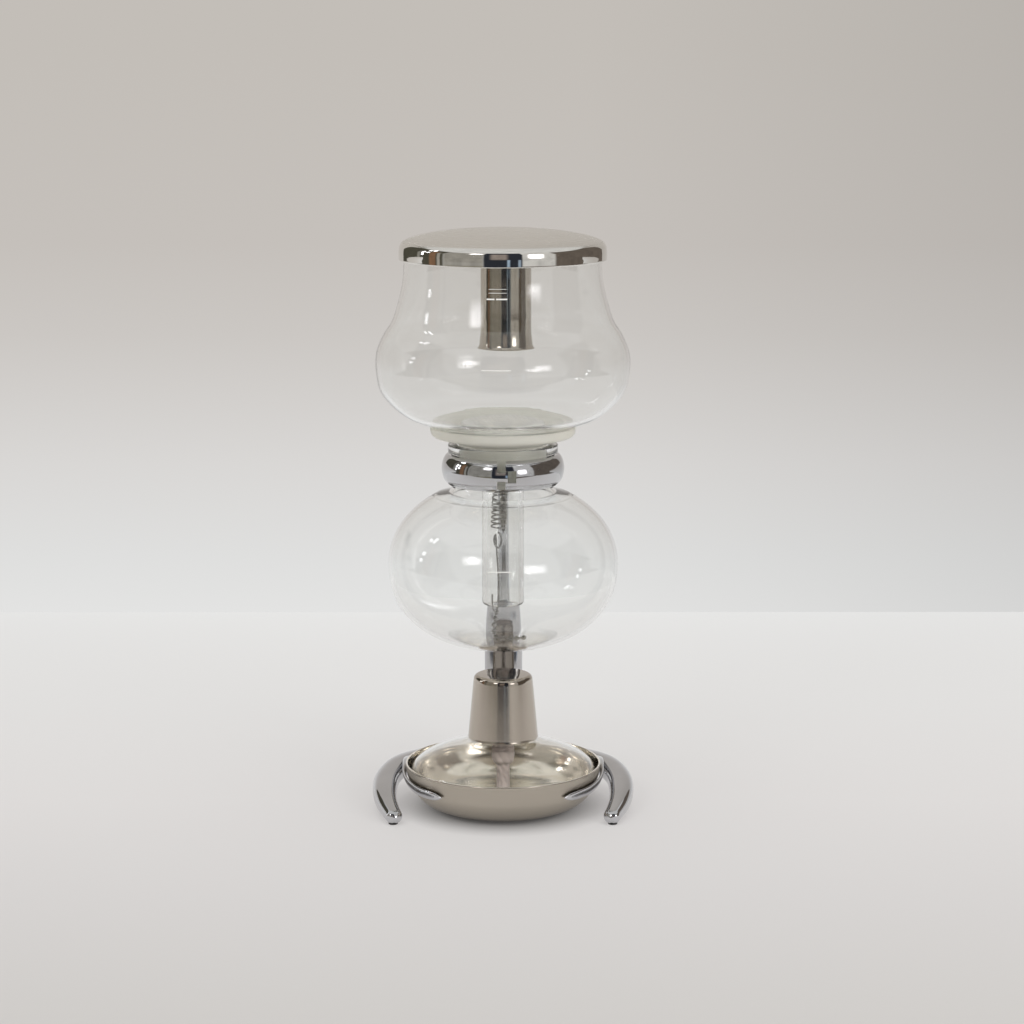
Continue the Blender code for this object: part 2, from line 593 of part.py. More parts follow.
def make_base(chrome, steel, rubber):
    """The rear hub, with a socket for each arm and a screw up into the column."""
    y, z, end = HUB_Y, HUB_Z, HUB_HALF_LENGTH
    hub = bar_along("base_hub", [(-end - 4, y - 1.9, z, 8.6, 7.4), (-6, y + 0.6, z, 10.4, 7.8),
                                 (0, y + 1.0, z, 11.0, 7.9), (6, y + 0.6, z, 10.4, 7.8),
                                 (end + 4, y - 1.9, z, 8.6, 7.4)], chrome,
                    lambda place: Vector((0, 1, 0)), 1.0, ends=(False, False), sides=14, power=2.4)
    cutters = [
        block("hub_left_end", (-end - 20, y - 20, -5), (-end, y + 20, 30), steel),
        block("hub_right_end", (end, y - 20, -5), (end + 20, y + 20, 30), steel),
        pin("hub_screw_hole", (0, y, -2), (0, y, 24), SCREW_HOLE_RADIUS, steel),
        pin("hub_head_hole", (0, y, -2), (0, y, 5.6), SCREW_HEAD_HOLE_RADIUS, steel)]
    for side, sign in (("left", -1), ("right", 1)):
        inside, outside = sign * (DOWEL_START_X - 1.0), sign * (DOWEL_END_X + CUTTER_PASS)
        cutters.append(pin(f"hub_{side}_hole", (inside, DOWEL_Y, z), (outside, DOWEL_Y, z),
                           DOWEL_HOLE_RADIUS, steel))
    combine(hub, "DIFFERENCE", cutters)
    turned("column_screw", [Vector(p) for p in (
        (0, 2.5), (SCREW_HEAD_RADIUS, 2.5), (SCREW_HEAD_RADIUS, 5.2), (SCREW_RADIUS, 5.4),
        (SCREW_RADIUS, SCREW_TOP_Z), (0, SCREW_TOP_Z))], steel, steps=14, centre=(0, y, 0))
    turned("rear_foot_pad", [Vector(p) for p in (
        (0, 0), (6.2, 0), (6.8, 0.5), (6.8, 1.6), (0, 1.6))], rubber, steps=20, centre=(0, y, 0))
    for side, sign in (("left", -1), ("right", 1)):
        pin(f"arm_dowel_{side}", (sign * DOWEL_START_X, DOWEL_Y, z),
            (sign * DOWEL_END_X, DOWEL_Y, z), DOWEL_RADIUS, steel)


def round_about(course, sign):
    """Points in space from (degrees from the column, radius, z, half width, half height)."""
    points = []
    for degrees, radius, z, half_width, half_height in course:
        angle = math.radians(degrees)
        points.append((sign * radius * math.sin(angle), radius * math.cos(angle), z,
                       half_width, half_height))
    return points


def arm_points(sign):
    """(x, y, z, half width, half height) along an arm, from the hub round to its toe."""
    return round_about(((6, 71.2, HUB_Z, 9.0, 7.5), (16, 70.6, HUB_Z + 0.3, 8.5, 7.4),
                        (28, 68.4, 11.9, 7.6, 6.9), (44, ARM_RADIUS, 13.4, 7.1, 6.5),
                        (62, ARM_RADIUS, 14.2, 7.1, 6.2), (78, ARM_RADIUS, 12.8, 7.1, 6.0),
                        (93, ARM_RADIUS + 0.2, 10.4, 6.9, 6.1), (108, 68.0, 7.2, 6.0, 5.4),
                        (125, 72.0, 3.9, 4.3, 3.7)), sign)


def prong_points(sign):
    """(x, y, z, half width, half height) along the blade that lies against the lamp's dish."""
    return round_about(((54, 63.5, 16.0, 2.8, 3.0), (64, 61.0, 18.2, 2.5, 3.0),
                        (73, 57.9, 19.8, 1.9, 2.8), (82, 56.0, 19.6, 1.3, 2.8),
                        (92, 55.3, 18.2, 1.0, 2.9), (104, 54.7, 16.9, 1.0, 3.0),
                        (118, 54.5, 16.2, 1.0, 3.0), (130, 54.5, 16.2, 1.0, 2.8),
                        (137, 54.5, 16.3, 0.9, 2.2), (142, 54.4, 16.4, 0.7, 1.0)), sign)


def make_arms(chrome, steel, rubber):
    for side, sign in (("left", -1), ("right", 1)):
        arm = bar_along(f"base_arm_{side}", arm_points(sign), chrome, outwards, 3.4,
                        ends=(False, True), sides=12, power=2.3)
        prong = bar_along(f"prong_form_{side}", prong_points(sign), chrome, leaning, 5.0,
                          ends=(False, True), sides=8, power=2.2)
        combine(arm, "UNION", [prong])
        angle = math.radians(TOE_PAD_DEGREES)
        toe = TOE_PAD_REACH * Vector((sign * math.sin(angle), math.cos(angle), 0))
        seat = pin(f"toe_seat_{side}", (toe.x, toe.y, -2), (toe.x, toe.y, 1.1), 3.3, steel, steps=16)
        dowel = pin(f"arm_hole_{side}", (sign * (DOWEL_START_X - 1.0), DOWEL_Y, HUB_Z),
                    (sign * (DOWEL_END_X + 1.0), DOWEL_Y, HUB_Z), DOWEL_HOLE_RADIUS, steel)
        edge = HUB_HALF_LENGTH + GAP
        end = block(f"arm_end_{side}", (-edge, DOWEL_Y - 20, -5), (edge, DOWEL_Y + 20, 30), steel)
        combine(arm, "DIFFERENCE", [seat, dowel, end])
        turned(f"foot_pad_{side}", [Vector(p) for p in ((0, 0), (2.3, 0), (2.6, 0.3), (2.6, 0.8),
                                                        (0, 0.8))], rubber, steps=16,
               centre=(toe.x, toe.y, 0))


# --- the spirit lamp --------------------------------------------------------------------------
def dish_outline():
    return smooth_curve([(DISH_RADIUS, DISH_RIM_Z - 0.6), (54.0, 20.0), (51.5, 12.5), (46.0, 5.6),
                         (38.0, 1.7), (DISH_BASE_RADIUS, DISH_BASE_Z)], 2)


def make_dish(nickel):
    outer = [Vector((DISH_RADIUS - 0.5, DISH_RIM_Z))] + dish_outline() + [Vector((0, DISH_BASE_Z))]
    inner = offset(outer, DISH_SHEET)
    inner[-1].x = 0
    inner[0] = Vector((DISH_RADIUS - 1.1, DISH_RIM_Z - 0.1))
    turned("lamp_dish", outer + list(reversed(inner)), nickel)


def reservoir_outline():
    """The lamp glass, from its neck over the dome and down inside the dish."""
    neck = [(RESERVOIR_NECK_RADIUS, RESERVOIR_NECK_Z), (RESERVOIR_NECK_RADIUS, 41.0)]
    dome = smooth_curve([(15.2, 38.8), (24.0, 36.9), (34.0, 33.9), (43.0, 30.0), (49.4, 25.8),
                         (52.2, 21.5)], 2)
    inset = [p for p in offset(dish_outline(), DISH_SHEET + 2 * GAP) if p.y < 19]
    return [Vector(p) for p in neck] + dome + inset + [Vector((0, inset[-1].y))]


def make_reservoir(glass):
    outer = reservoir_outline()
    inner = offset(outer, RESERVOIR_WALL)
    inner[-1].x = 0
    inner[0] = Vector((RESERVOIR_NECK_RADIUS - RESERVOIR_WALL, RESERVOIR_NECK_Z))
    turned("lamp_reservoir", outer + list(reversed(inner)), glass)


def make_burner(brass, rubber, cotton):
    top = RESERVOIR_NECK_Z
    inner, outer = RESERVOIR_NECK_RADIUS - RESERVOIR_WALL, RESERVOIR_NECK_RADIUS
    gasket = ((inner, top + GAP), (outer, top + GAP), (outer, top + 1.3), (inner, top + 1.3))
    turned("collar_gasket", [Vector(p) for p in gasket], rubber, steps=24)
    bore = WICK_TUBE_RADIUS + GAP
    collar = ((bore, top + 3.6), (outer + 0.6, top + 3.6), (outer + 1.6, top + 2.8),
              (outer + 1.6, top - 1.6), (outer + 0.5, top - 1.6), (outer + 0.5, top + 1.6),
              (bore, top + 1.6))
    turned("burner_collar", [Vector(p) for p in collar], brass, steps=24)
    tube = ((WICK_TUBE_RADIUS - 0.8, top + 10.6), (WICK_TUBE_RADIUS, top + 10.6),
            (WICK_TUBE_RADIUS, top + 4.9), (WICK_TUBE_RADIUS + 2.4, top + 4.9),
            (WICK_TUBE_RADIUS + 2.4, top + 3.9), (WICK_TUBE_RADIUS, top + 3.9),
            (WICK_TUBE_RADIUS, top - 9.0), (WICK_TUBE_RADIUS - 0.8, top - 9.0))
    turned("wick_tube", [Vector(p) for p in tube], brass, steps=SMALL_STEPS)
    wick = ((0, WICK_TOP_Z), (WICK_RADIUS - 0.8, WICK_TOP_Z), (WICK_RADIUS, WICK_TOP_Z - 1.0),
            (WICK_RADIUS, WICK_SWELL_TOP_Z), (WICK_SWELL_RADIUS, WICK_SWELL_TOP_Z - 1.2),
            (WICK_SWELL_RADIUS, WICK_SWELL_BOTTOM_Z + 2.2),
            (WICK_SWELL_RADIUS - 1.2, WICK_SWELL_BOTTOM_Z + 0.4),
            (WICK_TAIL_RADIUS, WICK_SWELL_BOTTOM_Z), (WICK_TAIL_RADIUS, WICK_BOTTOM_Z),
            (0, WICK_BOTTOM_Z))
    turned("wick", [Vector(p) for p in wick], cotton, steps=SMALL_STEPS)


def make_cap(nickel):
    edge = arc((CAP_TOP_RADIUS - 2.2, CAP_TOP_Z - 2.2), 2.2, 90, 6, 4)
    outer = [Vector((0, CAP_TOP_Z))] + edge + [Vector((CAP_BOTTOM_RADIUS, CAP_BOTTOM_Z))]
    inner = offset(outer, CAP_WALL)
    inner[0].x = 0
    inner[-1] = Vector((CAP_BOTTOM_RADIUS - CAP_WALL, CAP_BOTTOM_Z))
    turned("snuffer_cap", outer + list(reversed(inner)), nickel, steps=32)


def build():
    clear_scene()
    nickel = material("satin_nickel", (0.55, 0.52, 0.47), 0.3, metallic=1.0)
    chrome = material("polished_chrome", (0.78, 0.79, 0.81), 0.06, metallic=1.0)
    steel = material("stainless_steel", (0.60, 0.59, 0.57), 0.25, metallic=1.0)
    brass = material("burner_brass", (0.62, 0.50, 0.28), 0.3, metallic=1.0)
    glass = material("clear_glass", (0.96, 0.98, 0.97), 0.0, transmission=1.0)
    silicone = material("silicone", (0.80, 0.79, 0.68), 0.35, transmission=0.5)
    rubber = material("black_rubber", (0.05, 0.05, 0.05), 0.7)
    cotton = material("cotton", (0.86, 0.82, 0.78), 0.9)

    make_lid(nickel)
    make_bowl(glass)
    make_packing(silicone)
    make_filter(steel, cotton)
    make_spring_and_hook(steel)
    make_bead_chain(steel)
    make_globe(glass)
    make_clamp(chrome, rubber, steel)
    make_column(chrome, steel)
    make_base(chrome, steel, rubber)
    make_arms(chrome, steel, rubber)
    make_dish(nickel)
    make_reservoir(glass)
    make_burner(brass, rubber, cotton)
    make_cap(nickel)


build()
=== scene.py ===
"""Looks of the table-top vacuum coffee brewer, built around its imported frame.

Heights and radii below are millimetres in the frame's own axes: +Z up, the table at z = 0, the axis
of the bowls and the lamp on the Z axis, the column behind it at +Y.
"""
import math

import bmesh
import bpy
from mathutils import Matrix, Vector


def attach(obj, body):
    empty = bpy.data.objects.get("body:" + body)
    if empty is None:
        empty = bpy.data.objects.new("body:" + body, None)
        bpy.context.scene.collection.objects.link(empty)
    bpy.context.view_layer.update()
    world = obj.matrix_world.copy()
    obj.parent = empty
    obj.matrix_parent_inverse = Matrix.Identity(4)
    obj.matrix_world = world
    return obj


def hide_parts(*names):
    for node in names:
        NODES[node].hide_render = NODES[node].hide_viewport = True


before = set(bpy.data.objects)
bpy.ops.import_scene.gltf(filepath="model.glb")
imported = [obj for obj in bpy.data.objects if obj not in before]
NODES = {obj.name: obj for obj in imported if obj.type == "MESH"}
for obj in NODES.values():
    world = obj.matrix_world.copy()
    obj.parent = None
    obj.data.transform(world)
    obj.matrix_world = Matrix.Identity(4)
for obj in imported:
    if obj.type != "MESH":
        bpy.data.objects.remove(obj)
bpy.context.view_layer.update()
MM = 0.001
ROUND = 144                  # segments round a large turned piece
SMALL = 72                   # and round a small one


# --- curves ---
def smooth_curve(points, steps):
    """A Catmull-Rom curve through the points, with the given steps in each span."""
    points = [Vector(p) for p in points]
    ends = [2 * points[0] - points[1]] + points + [2 * points[-1] - points[-2]]
    curve = []
    for i in range(1, len(ends) - 2):
        a, b, c, d = ends[i - 1:i + 3]
        for k in range(steps):
            t = k / steps
            curve.append(0.5 * (2 * b + (c - a) * t + (2 * a - 5 * b + 4 * c - d) * t ** 2
                                + (3 * b - a - 3 * c + d) * t ** 3))
    return curve + [points[-1]]


def arc(centre, radius, start, end, steps):
    """Points on a circular arc; the angles are degrees from the outward direction."""
    centre = Vector(centre)
    angles = [math.radians(start + (end - start) * k / steps) for k in range(steps + 1)]
    return [centre + radius * Vector((math.cos(a), math.sin(a))) for a in angles]


def offset(outline, distance):
    """The outline moved sideways, to the right of its direction of travel."""
    moved = []
    for i, point in enumerate(outline):
        along = (outline[min(i + 1, len(outline) - 1)] - outline[max(i - 1, 0)]).normalized()
        moved.append(point + distance * Vector((along.y, -along.x)))
    return moved


def oval(half_width, half_height, centre_z, power, start, end, steps):
    """Points on a superellipse about the axis; start and end are degrees above the equator."""
    points = []
    for k in range(steps + 1):
        angle = math.radians(start + (end - start) * k / steps)
        across = abs(math.cos(angle)) ** (2 / power) * half_width
        up = math.copysign(abs(math.sin(angle)) ** (2 / power), math.sin(angle)) * half_height
        points.append(Vector((across, centre_z + up)))
    return points


def rounded(corners, radius, steps=4):
    """A polyline whose inner corners are rounded with a curve that starts at radius from each."""
    corners = [Vector(c) for c in corners]
    line = [corners[0]]
    for before, corner, after in zip(corners, corners[1:], corners[2:]):
        reach = min(radius, (before - corner).length / 2.01, (after - corner).length / 2.01)
        start = corner + (before - corner).normalized() * reach
        end = corner + (after - corner).normalized() * reach
        for k in range(steps + 1):
            t = k / steps
            line.append((1 - t) ** 2 * start + 2 * t * (1 - t) * corner + t * t * end)
    return line + [corners[-1]]


# --- meshes ---
def to_object(name, solid, finish, sharp_degrees=40):
    """A shaded object from a bmesh in millimetres."""
    bmesh.ops.remove_doubles(solid, verts=solid.verts, dist=1e-4)
    bmesh.ops.recalc_face_normals(solid, faces=solid.faces)
    bmesh.ops.transform(solid, matrix=Matrix.Scale(MM, 4), verts=solid.verts)
    mesh = bpy.data.meshes.new(name)
    solid.to_mesh(mesh)
    solid.free()
    mesh.shade_smooth()
    mesh.set_sharp_from_angle(angle=math.radians(sharp_degrees))
    mesh.materials.append(finish)
    made = bpy.data.objects.new(name, mesh)
    bpy.context.scene.collection.objects.link(made)
    return made


def turned(name, outline, finish, steps=ROUND, x=0.0, shape=None, sharp_degrees=40):
    """A solid of revolution; shape(radius, z, angle) may change a point's radius and height."""
    solid = bmesh.new()
    closed = outline[0][0] > 1e-4 or outline[-1][0] > 1e-4
    rings = []
    for radius, z in outline:
        if radius < 1e-4:
            rings.append([solid.verts.new((x, 0, z))] * steps)
            continue
        ring = []
        for k in range(steps):
            angle = math.tau * k / steps
            r, h = shape(radius, z, angle) if shape else (radius, z)
            ring.append(solid.verts.new((x + r * math.cos(angle), r * math.sin(angle), h)))
        rings.append(ring)
    for lower, upper in zip(rings, rings[1:] + ([rings[0]] if closed else [])):
        for k in range(steps):
            j = (k + 1) % steps
            corners = [lower[k], lower[j], upper[j], upper[k]]
            corners = [v for i, v in enumerate(corners) if v not in corners[:i]]
            if len(corners) > 2:
                solid.faces.new(corners)
    return to_object(name, solid, finish, sharp_degrees)


def frames_along(places, first_side):
    """A side and an up direction at each place, turning as little as the path allows."""
    side, found = Vector(first_side).normalized(), []
    for i in range(len(places)):
        along = (places[min(i + 1, len(places) - 1)] - places[max(i - 1, 0)]).normalized()
        side = (side - along * side.dot(along)).normalized()
        found.append((side, along.cross(side)))
    return found


def wire(name, points, radii, finish, sides=12):
    """A round wire through the points; radii is one radius or one for each point."""
    solid = bmesh.new()
    places = [Vector(p) for p in points]
    radii = radii if isinstance(radii, list) else [radii] * len(places)
    rings = []
    for place, radius, (side, up) in zip(places, radii, frames_along(places, (0.3, 1.0, 0.2))):
        turns = [math.tau * k / sides for k in range(sides)]
        rings.append([solid.verts.new(place + radius * (side * math.cos(a) + up * math.sin(a)))
                      for a in turns])
    skin(solid, rings)
    return to_object(name, solid, finish, 70)


def skin(solid, rings):
    """Joins rings of equal length with faces and caps both ends."""
    count = len(rings[0])
    for lower, upper in zip(rings, rings[1:]):
        for k in range(count):
            j = (k + 1) % count
            solid.faces.new((lower[k], lower[j], upper[j], upper[k]))
    solid.faces.new(rings[0])
    solid.faces.new(rings[-1])


def bar(name, points, finish, side_of, round_length, ends, sides=48, power=2.4, steps=12):
    """A bar through (x, y, z, half width, half height) points, with chosen ends rounded."""
    path = smooth_curve(points, steps)
    places = [Vector(p[:3]) for p in path]
    walked = [0.0]
    for a, b in zip(places, places[1:]):
        walked.append(walked[-1] + (b - a).length)
    # the rings shrink near a rounded end, so that it closes like half an ellipse
    solid, rings = bmesh.new(), []
    for i, (place, point) in enumerate(zip(places, path)):
        along = (places[min(i + 1, len(places) - 1)] - places[max(i - 1, 0)]).normalized()
        side = side_of(place)
        side = (side - along * side.dot(along)).normalized()
        up = along.cross(side)
        room = min(walked[i] if ends[0] else round_length,
                   (walked[-1] - walked[i]) if ends[1] else round_length)
        share = 1 - min(room / round_length, 1.0)
        factor = max(math.sqrt(max(1 - share * share, 0.0)), 0.06)
        ring = []
        for k in range(sides):
            angle = math.tau * (k + 0.5) / sides
            across = math.copysign(abs(math.cos(angle)) ** (2 / power), math.cos(angle))
            above = math.copysign(abs(math.sin(angle)) ** (2 / power), math.sin(angle))
            ring.append(solid.verts.new(place + factor * (side * across * point[3]
                                                          + up * above * point[4])))
        rings.append(ring)
    skin(solid, rings)
    return to_object(name, solid, finish, 50)


def block(name, low, high, finish):
    solid = bmesh.new()
    bmesh.ops.create_cube(solid, size=1.0)
    low, high = Vector(low), Vector(high)
    bmesh.ops.scale(solid, vec=high - low, verts=solid.verts)
    bmesh.ops.translate(solid, vec=(low + high) / 2, verts=solid.verts)
    return to_object(name, solid, finish)


def pin(name, start, end, radius, finish, steps=40):
    start, end = Vector(start), Vector(end)
    solid = bmesh.new()
    turn = Vector((0, 0, 1)).rotation_difference(end - start).to_matrix().to_4x4()
    bmesh.ops.create_cone(solid, cap_ends=True, segments=steps, radius1=radius, radius2=radius,
                          depth=(end - start).length,
                          matrix=Matrix.Translation((start + end) / 2) @ turn)
    return to_object(name, solid, finish)


def combine(target, operation, others, sharp_degrees=40):
    """Applies one exact Boolean for each other object and removes that object."""
    for other in others:
        step = target.modifiers.new(operation.lower(), "BOOLEAN")
        step.operation, step.solver, step.object = operation, "EXACT", other
    bpy.context.view_layer.update()
    graph = bpy.context.evaluated_depsgraph_get()
    mesh = bpy.data.meshes.new_from_object(target.evaluated_get(graph))
    target.modifiers.clear()
    target.data = mesh
    mesh.shade_smooth()
    mesh.set_sharp_from_angle(angle=math.radians(sharp_degrees))
    for other in others:
        bpy.data.objects.remove(other, do_unlink=True)
    return target


def stands_for(piece, body, slot, *nodes):
    """The piece rides on its body and is shown in place of these CAD nodes."""
    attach(piece, body)
    if nodes:
        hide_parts(*nodes)
    return piece


# --- materials ---
class Nodes:
    """Short calls that add shader nodes to a tree."""

    def __init__(self, tree):
        self.tree = tree

    def node(self, kind, inputs=None, **settings):
        made = self.tree.nodes.new(kind)
        for key, value in settings.items():
            setattr(made, key, value)
        for key, value in (inputs or {}).items():
            socket = made.inputs[key]
            if isinstance(value, bpy.types.NodeSocket):
                self.tree.links.new(value, socket)
            else:
                socket.default_value = value
        return made

    def maths(self, operation, first, second=0.0):
        return self.node("ShaderNodeMath", {0: first, 1: second}, operation=operation).outputs[0]

    def noise(self, vector, scale, detail=3.0, roughness=0.55):
        return self.node("ShaderNodeTexNoise", {"Vector": vector, "Scale": scale,
                                                "Detail": detail, "Roughness": roughness}
                         ).outputs["Fac"]

    def ranged(self, value, low, high, start=0.3, end=0.7):
        """The value's range start to end spread over low to high."""
        return self.node("ShaderNodeMapRange", {"Value": value, "From Min": start, "From Max": end,
                                                "To Min": low, "To Max": high}).outputs[0]

    def ramp(self, value, stops):
        """Colours at places along the value, each (place, colour)."""
        made = self.node("ShaderNodeValToRGB", {0: value})
        elements = made.color_ramp.elements
        while len(elements) < len(stops):
            elements.new(0.5)
        for element, (at, colour) in zip(elements, stops):
            element.position, element.color = at, (*colour, 1.0)
        return made.outputs[0]

    def within(self, value, start, end, soft):
        """One between start and end, and nothing a little way outside them."""
        rise, fall = (self.node("ShaderNodeMapRange", {
            "Value": value, "From Min": edge - soft, "From Max": edge + soft, "To Min": low,
            "To Max": 1.0 - low}, interpolation_type="SMOOTHSTEP").outputs[0]
            for edge, low in ((start, 0.0), (end, 1.0)))
        return self.maths("MULTIPLY", rise, fall)

    def mixed(self, factor, first, second):
        made = self.node("ShaderNodeMix", {"Factor": factor}, data_type="RGBA")
        for socket, colour in ((made.inputs[6], first), (made.inputs[7], second)):
            if isinstance(colour, bpy.types.NodeSocket):
                self.tree.links.new(colour, socket)
            else:
                socket.default_value = (*colour, 1.0)
        return made.outputs[2]


class Finish(Nodes):
    """A Principled material to which procedural detail is added."""

    def __init__(self, name, colour, roughness, metallic=0.0):
        self.material = bpy.data.materials.new(name)
        self.material.use_nodes = True
        super().__init__(self.material.node_tree)
        self.shader = self.tree.nodes["Principled BSDF"]
        self.output = self.tree.nodes["Material Output"]
        self.shader.inputs["Base Color"].default_value = (*colour, 1.0)
        self.shader.inputs["Roughness"].default_value = roughness
        self.shader.inputs["Metallic"].default_value = metallic
        self.height = None

    def place(self, stretch=(1, 1, 1)):
        """Object coordinates in metres, scaled."""
        at = self.node("ShaderNodeTexCoord").outputs["Object"]
        return self.node("ShaderNodeMapping", {"Vector": at, "Scale": stretch}).outputs[0]

    def turned_place(self, across=1.0, round_about=1.0):
        """Coordinates that follow a turned surface: distance from the axis, height, angle."""
        at = self.node("ShaderNodeSeparateXYZ", {0: self.place()})
        x, y, z = at.outputs
        radius = self.maths("SQRT", self.maths("ADD", self.maths("MULTIPLY", x, x),
                                               self.maths("MULTIPLY", y, y)))
        angle = self.maths("ARCTAN2", y, x)
        return self.node("ShaderNodeCombineXYZ", {
            0: self.maths("MULTIPLY", radius, across), 1: self.maths("MULTIPLY", z, across),
            2: self.maths("MULTIPLY", angle, round_about)}).outputs[0]

    def set(self, name, value):
        if isinstance(value, bpy.types.NodeSocket):
            self.tree.links.new(value, self.shader.inputs[name])
        else:
            self.shader.inputs[name].default_value = value
        return self

    def bump(self, height, distance, strength=1.0):
        """Adds to the surface's relief; distance is the relief's depth in metres."""
        inputs = {"Height": height, "Distance": distance, "Strength": strength}
        if self.height is not None:
            inputs["Normal"] = self.height
        self.height = self.node("ShaderNodeBump", inputs).outputs[0]
        self.tree.links.new(self.height, self.shader.inputs["Normal"])
        return self

    def clear_for_lamps(self, tint, share=1.0):
        """Lets light rays pass straight through, so that glass doesn't shade what it holds."""
        path = self.node("ShaderNodeLightPath")
        clear = self.node("ShaderNodeBsdfTransparent", {"Color": (*tint, 1.0)})
        shadow = path.outputs["Is Shadow Ray"]
        if share < 1.0:
            shadow = self.maths("MULTIPLY", shadow, share)
        mix = self.node("ShaderNodeMixShader", {0: shadow, 1: self.shader.outputs[0],
                                                2: clear.outputs[0]})
        self.tree.links.new(mix.outputs[0], self.output.inputs["Surface"])
        return self


def glass_finish(name, tint, wave=0.00006, haze=0.03):
    """Blown glass: faint waves, a few softer patches where it has been touched."""
    made = Finish(name, tint, 0.0)
    made.set("Transmission Weight", 1.0).set("IOR", 1.47)
    smear = made.noise(made.place(), 26.0, 4.0, 0.65)
    made.set("Roughness", made.ranged(smear, 0.0, haze, 0.62, 0.8))
    made.bump(made.noise(made.place((1, 1, 0.6)), 22.0, 1.0), wave)
    made.clear_for_lamps((0.95, 0.955, 0.95))
    return made.material


def chrome_finish(name="polished_chrome", tone=(0.62, 0.622, 0.638)):
    """Polished plate with hairline wear and a faint unevenness of the casting below."""
    made = Finish(name, tone, 0.05, 1.0)
    hair = made.noise(made.place((40, 40, 900)), 4.0, 5.0, 0.7)
    cloud = made.noise(made.place(), 60.0, 3.0)
    made.set("Roughness", made.maths("ADD", made.ranged(hair, 0.0, 0.05, 0.5, 0.8),
                                     made.ranged(cloud, 0.035, 0.07)))
    made.set("Base Color", made.mixed(made.ranged(cloud, 0, 1), tone,
                                      tuple(0.93 * c for c in tone)))
    made.bump(made.noise(made.place(), 45.0, 1.0), 0.00002)
    return made.material


def nickel_finish(name, tone, roughness, polished=None, grain=7000.0, inside=None):
    """Spun satin nickel: fine rings from the turning, cloudy tone, and polished zones.

    polished is a list of (low z, high z) bands in metres where the surface is mirror bright;
    inside is another tone for the faces that look up and towards the axis, given as painted light:
    a paler copy of the metal that stands in for the light on those faces.
    """
    made = Finish(name, tone, roughness, 1.0)
    rings = made.noise(made.turned_place(grain, 1.2), 1.0, 3.0, 0.6)
    cloud = made.noise(made.place(), 34.0, 4.0, 0.6)
    rough = made.maths("ADD", made.ranged(rings, -0.02, 0.02),
                       made.ranged(cloud, -0.006, 0.008))
    rough = made.maths("ADD", rough, roughness)
    satin = 1.0
    if polished:
        height = made.node("ShaderNodeSeparateXYZ", {0: made.place()}).outputs[2]
        bright = 0.0
        for low, high in polished:
            up = made.ranged(height, 0, 1, low - 0.0002, low + 0.0002)
            down = made.ranged(height, 1, 0, high - 0.0004, high + 0.0006)
            bright = made.maths("MAXIMUM", bright, made.maths("MULTIPLY", up, down))
        satin = made.maths("SUBTRACT", 1.0, bright)
        rough = made.maths("ADD", made.maths("MULTIPLY", rough, satin),
                           made.maths("MULTIPLY", bright, 0.045))
    made.set("Roughness", rough)
    colour = made.mixed(made.ranged(cloud, 0, 1), tone, tuple(0.97 * c for c in tone))
    # painted light: the faces that look up and towards the axis take the paler inside tone
    if inside:
        out = made.node("ShaderNodeVectorMath", {0: made.place((1, 1, 0))}, operation="NORMALIZE")
        facing = made.node("ShaderNodeVectorMath", {
            0: made.node("ShaderNodeNewGeometry").outputs["Normal"],
            1: made.node("ShaderNodeVectorMath", {0: out.outputs[0], 1: (0, 0, 1)},
                         operation="SUBTRACT").outputs[0]}, operation="DOT_PRODUCT")
        outside = made.ranged(facing.outputs["Value"], 0, 1, -0.05, 0.05)
        colour = made.mixed(outside, inside, colour)
        made.set("Roughness", made.maths("MULTIPLY", rough, made.ranged(outside, 0.45, 1, 0, 1)))
    made.set("Base Color", colour)
    made.bump(rings, 0.000003, satin)
    return made.material


def steel_finish(name="stainless_steel", tone=(0.60, 0.59, 0.57)):
    made = Finish(name, tone, 0.2, 1.0)
    grain = made.noise(made.place((300, 300, 1500)), 2.0, 4.0, 0.6)
    made.set("Roughness", made.ranged(grain, 0.12, 0.32))
    made.set("Base Color", made.mixed(made.ranged(made.noise(made.place(), 240.0), 0, 1), tone,
                                      tuple(0.8 * c for c in tone)))
    made.bump(grain, 0.00001)
    return made.material


def brass_finish():
    """Nickelled brass, tarnished where the flame has been near."""
    made = Finish("burner_brass", (0.62, 0.52, 0.34), 0.3, 1.0)
    spots = made.noise(made.place(), 180.0, 5.0, 0.7)
    made.set("Base Color", made.mixed(made.ranged(spots, 0, 1, 0.42, 0.68), (0.66, 0.58, 0.42),
                                      (0.36, 0.26, 0.14)))
    made.set("Roughness", made.ranged(spots, 0.18, 0.45))
    made.bump(made.noise(made.turned_place(3000.0, 1.5), 1.0), 0.00001)
    return made.material


def silicone_finish():
    """Moulded translucent silicone with a satin skin and a slight yellow cast."""
    made = Finish("silicone", (0.93, 0.92, 0.86), 0.3)
    made.set("Transmission Weight", 0.45).set("IOR", 1.10).set("Specular IOR Level", 0.5)
    skin_noise = made.noise(made.place(), 900.0, 3.0, 0.6)
    cloud = made.noise(made.place(), 50.0, 3.0)
    made.set("Roughness", made.ranged(skin_noise, 0.28, 0.42))
    made.set("Base Color", made.mixed(made.ranged(cloud, 0, 1), (0.95, 0.94, 0.88),
                                      (0.90, 0.885, 0.82)))
    made.bump(skin_noise, 0.000006, 0.5)
    made.clear_for_lamps((0.90, 0.89, 0.84), 0.8)
    return made.material


def rubber_finish():
    made = Finish("black_rubber", (0.035, 0.035, 0.035), 0.6)
    grit = made.noise(made.place(), 1500.0, 4.0, 0.7)
    made.set("Roughness", made.ranged(grit, 0.5, 0.75))
    made.set("Base Color", made.mixed(grit, (0.03, 0.03, 0.03), (0.06, 0.058, 0.055)))
    made.bump(grit, 0.00006, 0.6)
    return made.material


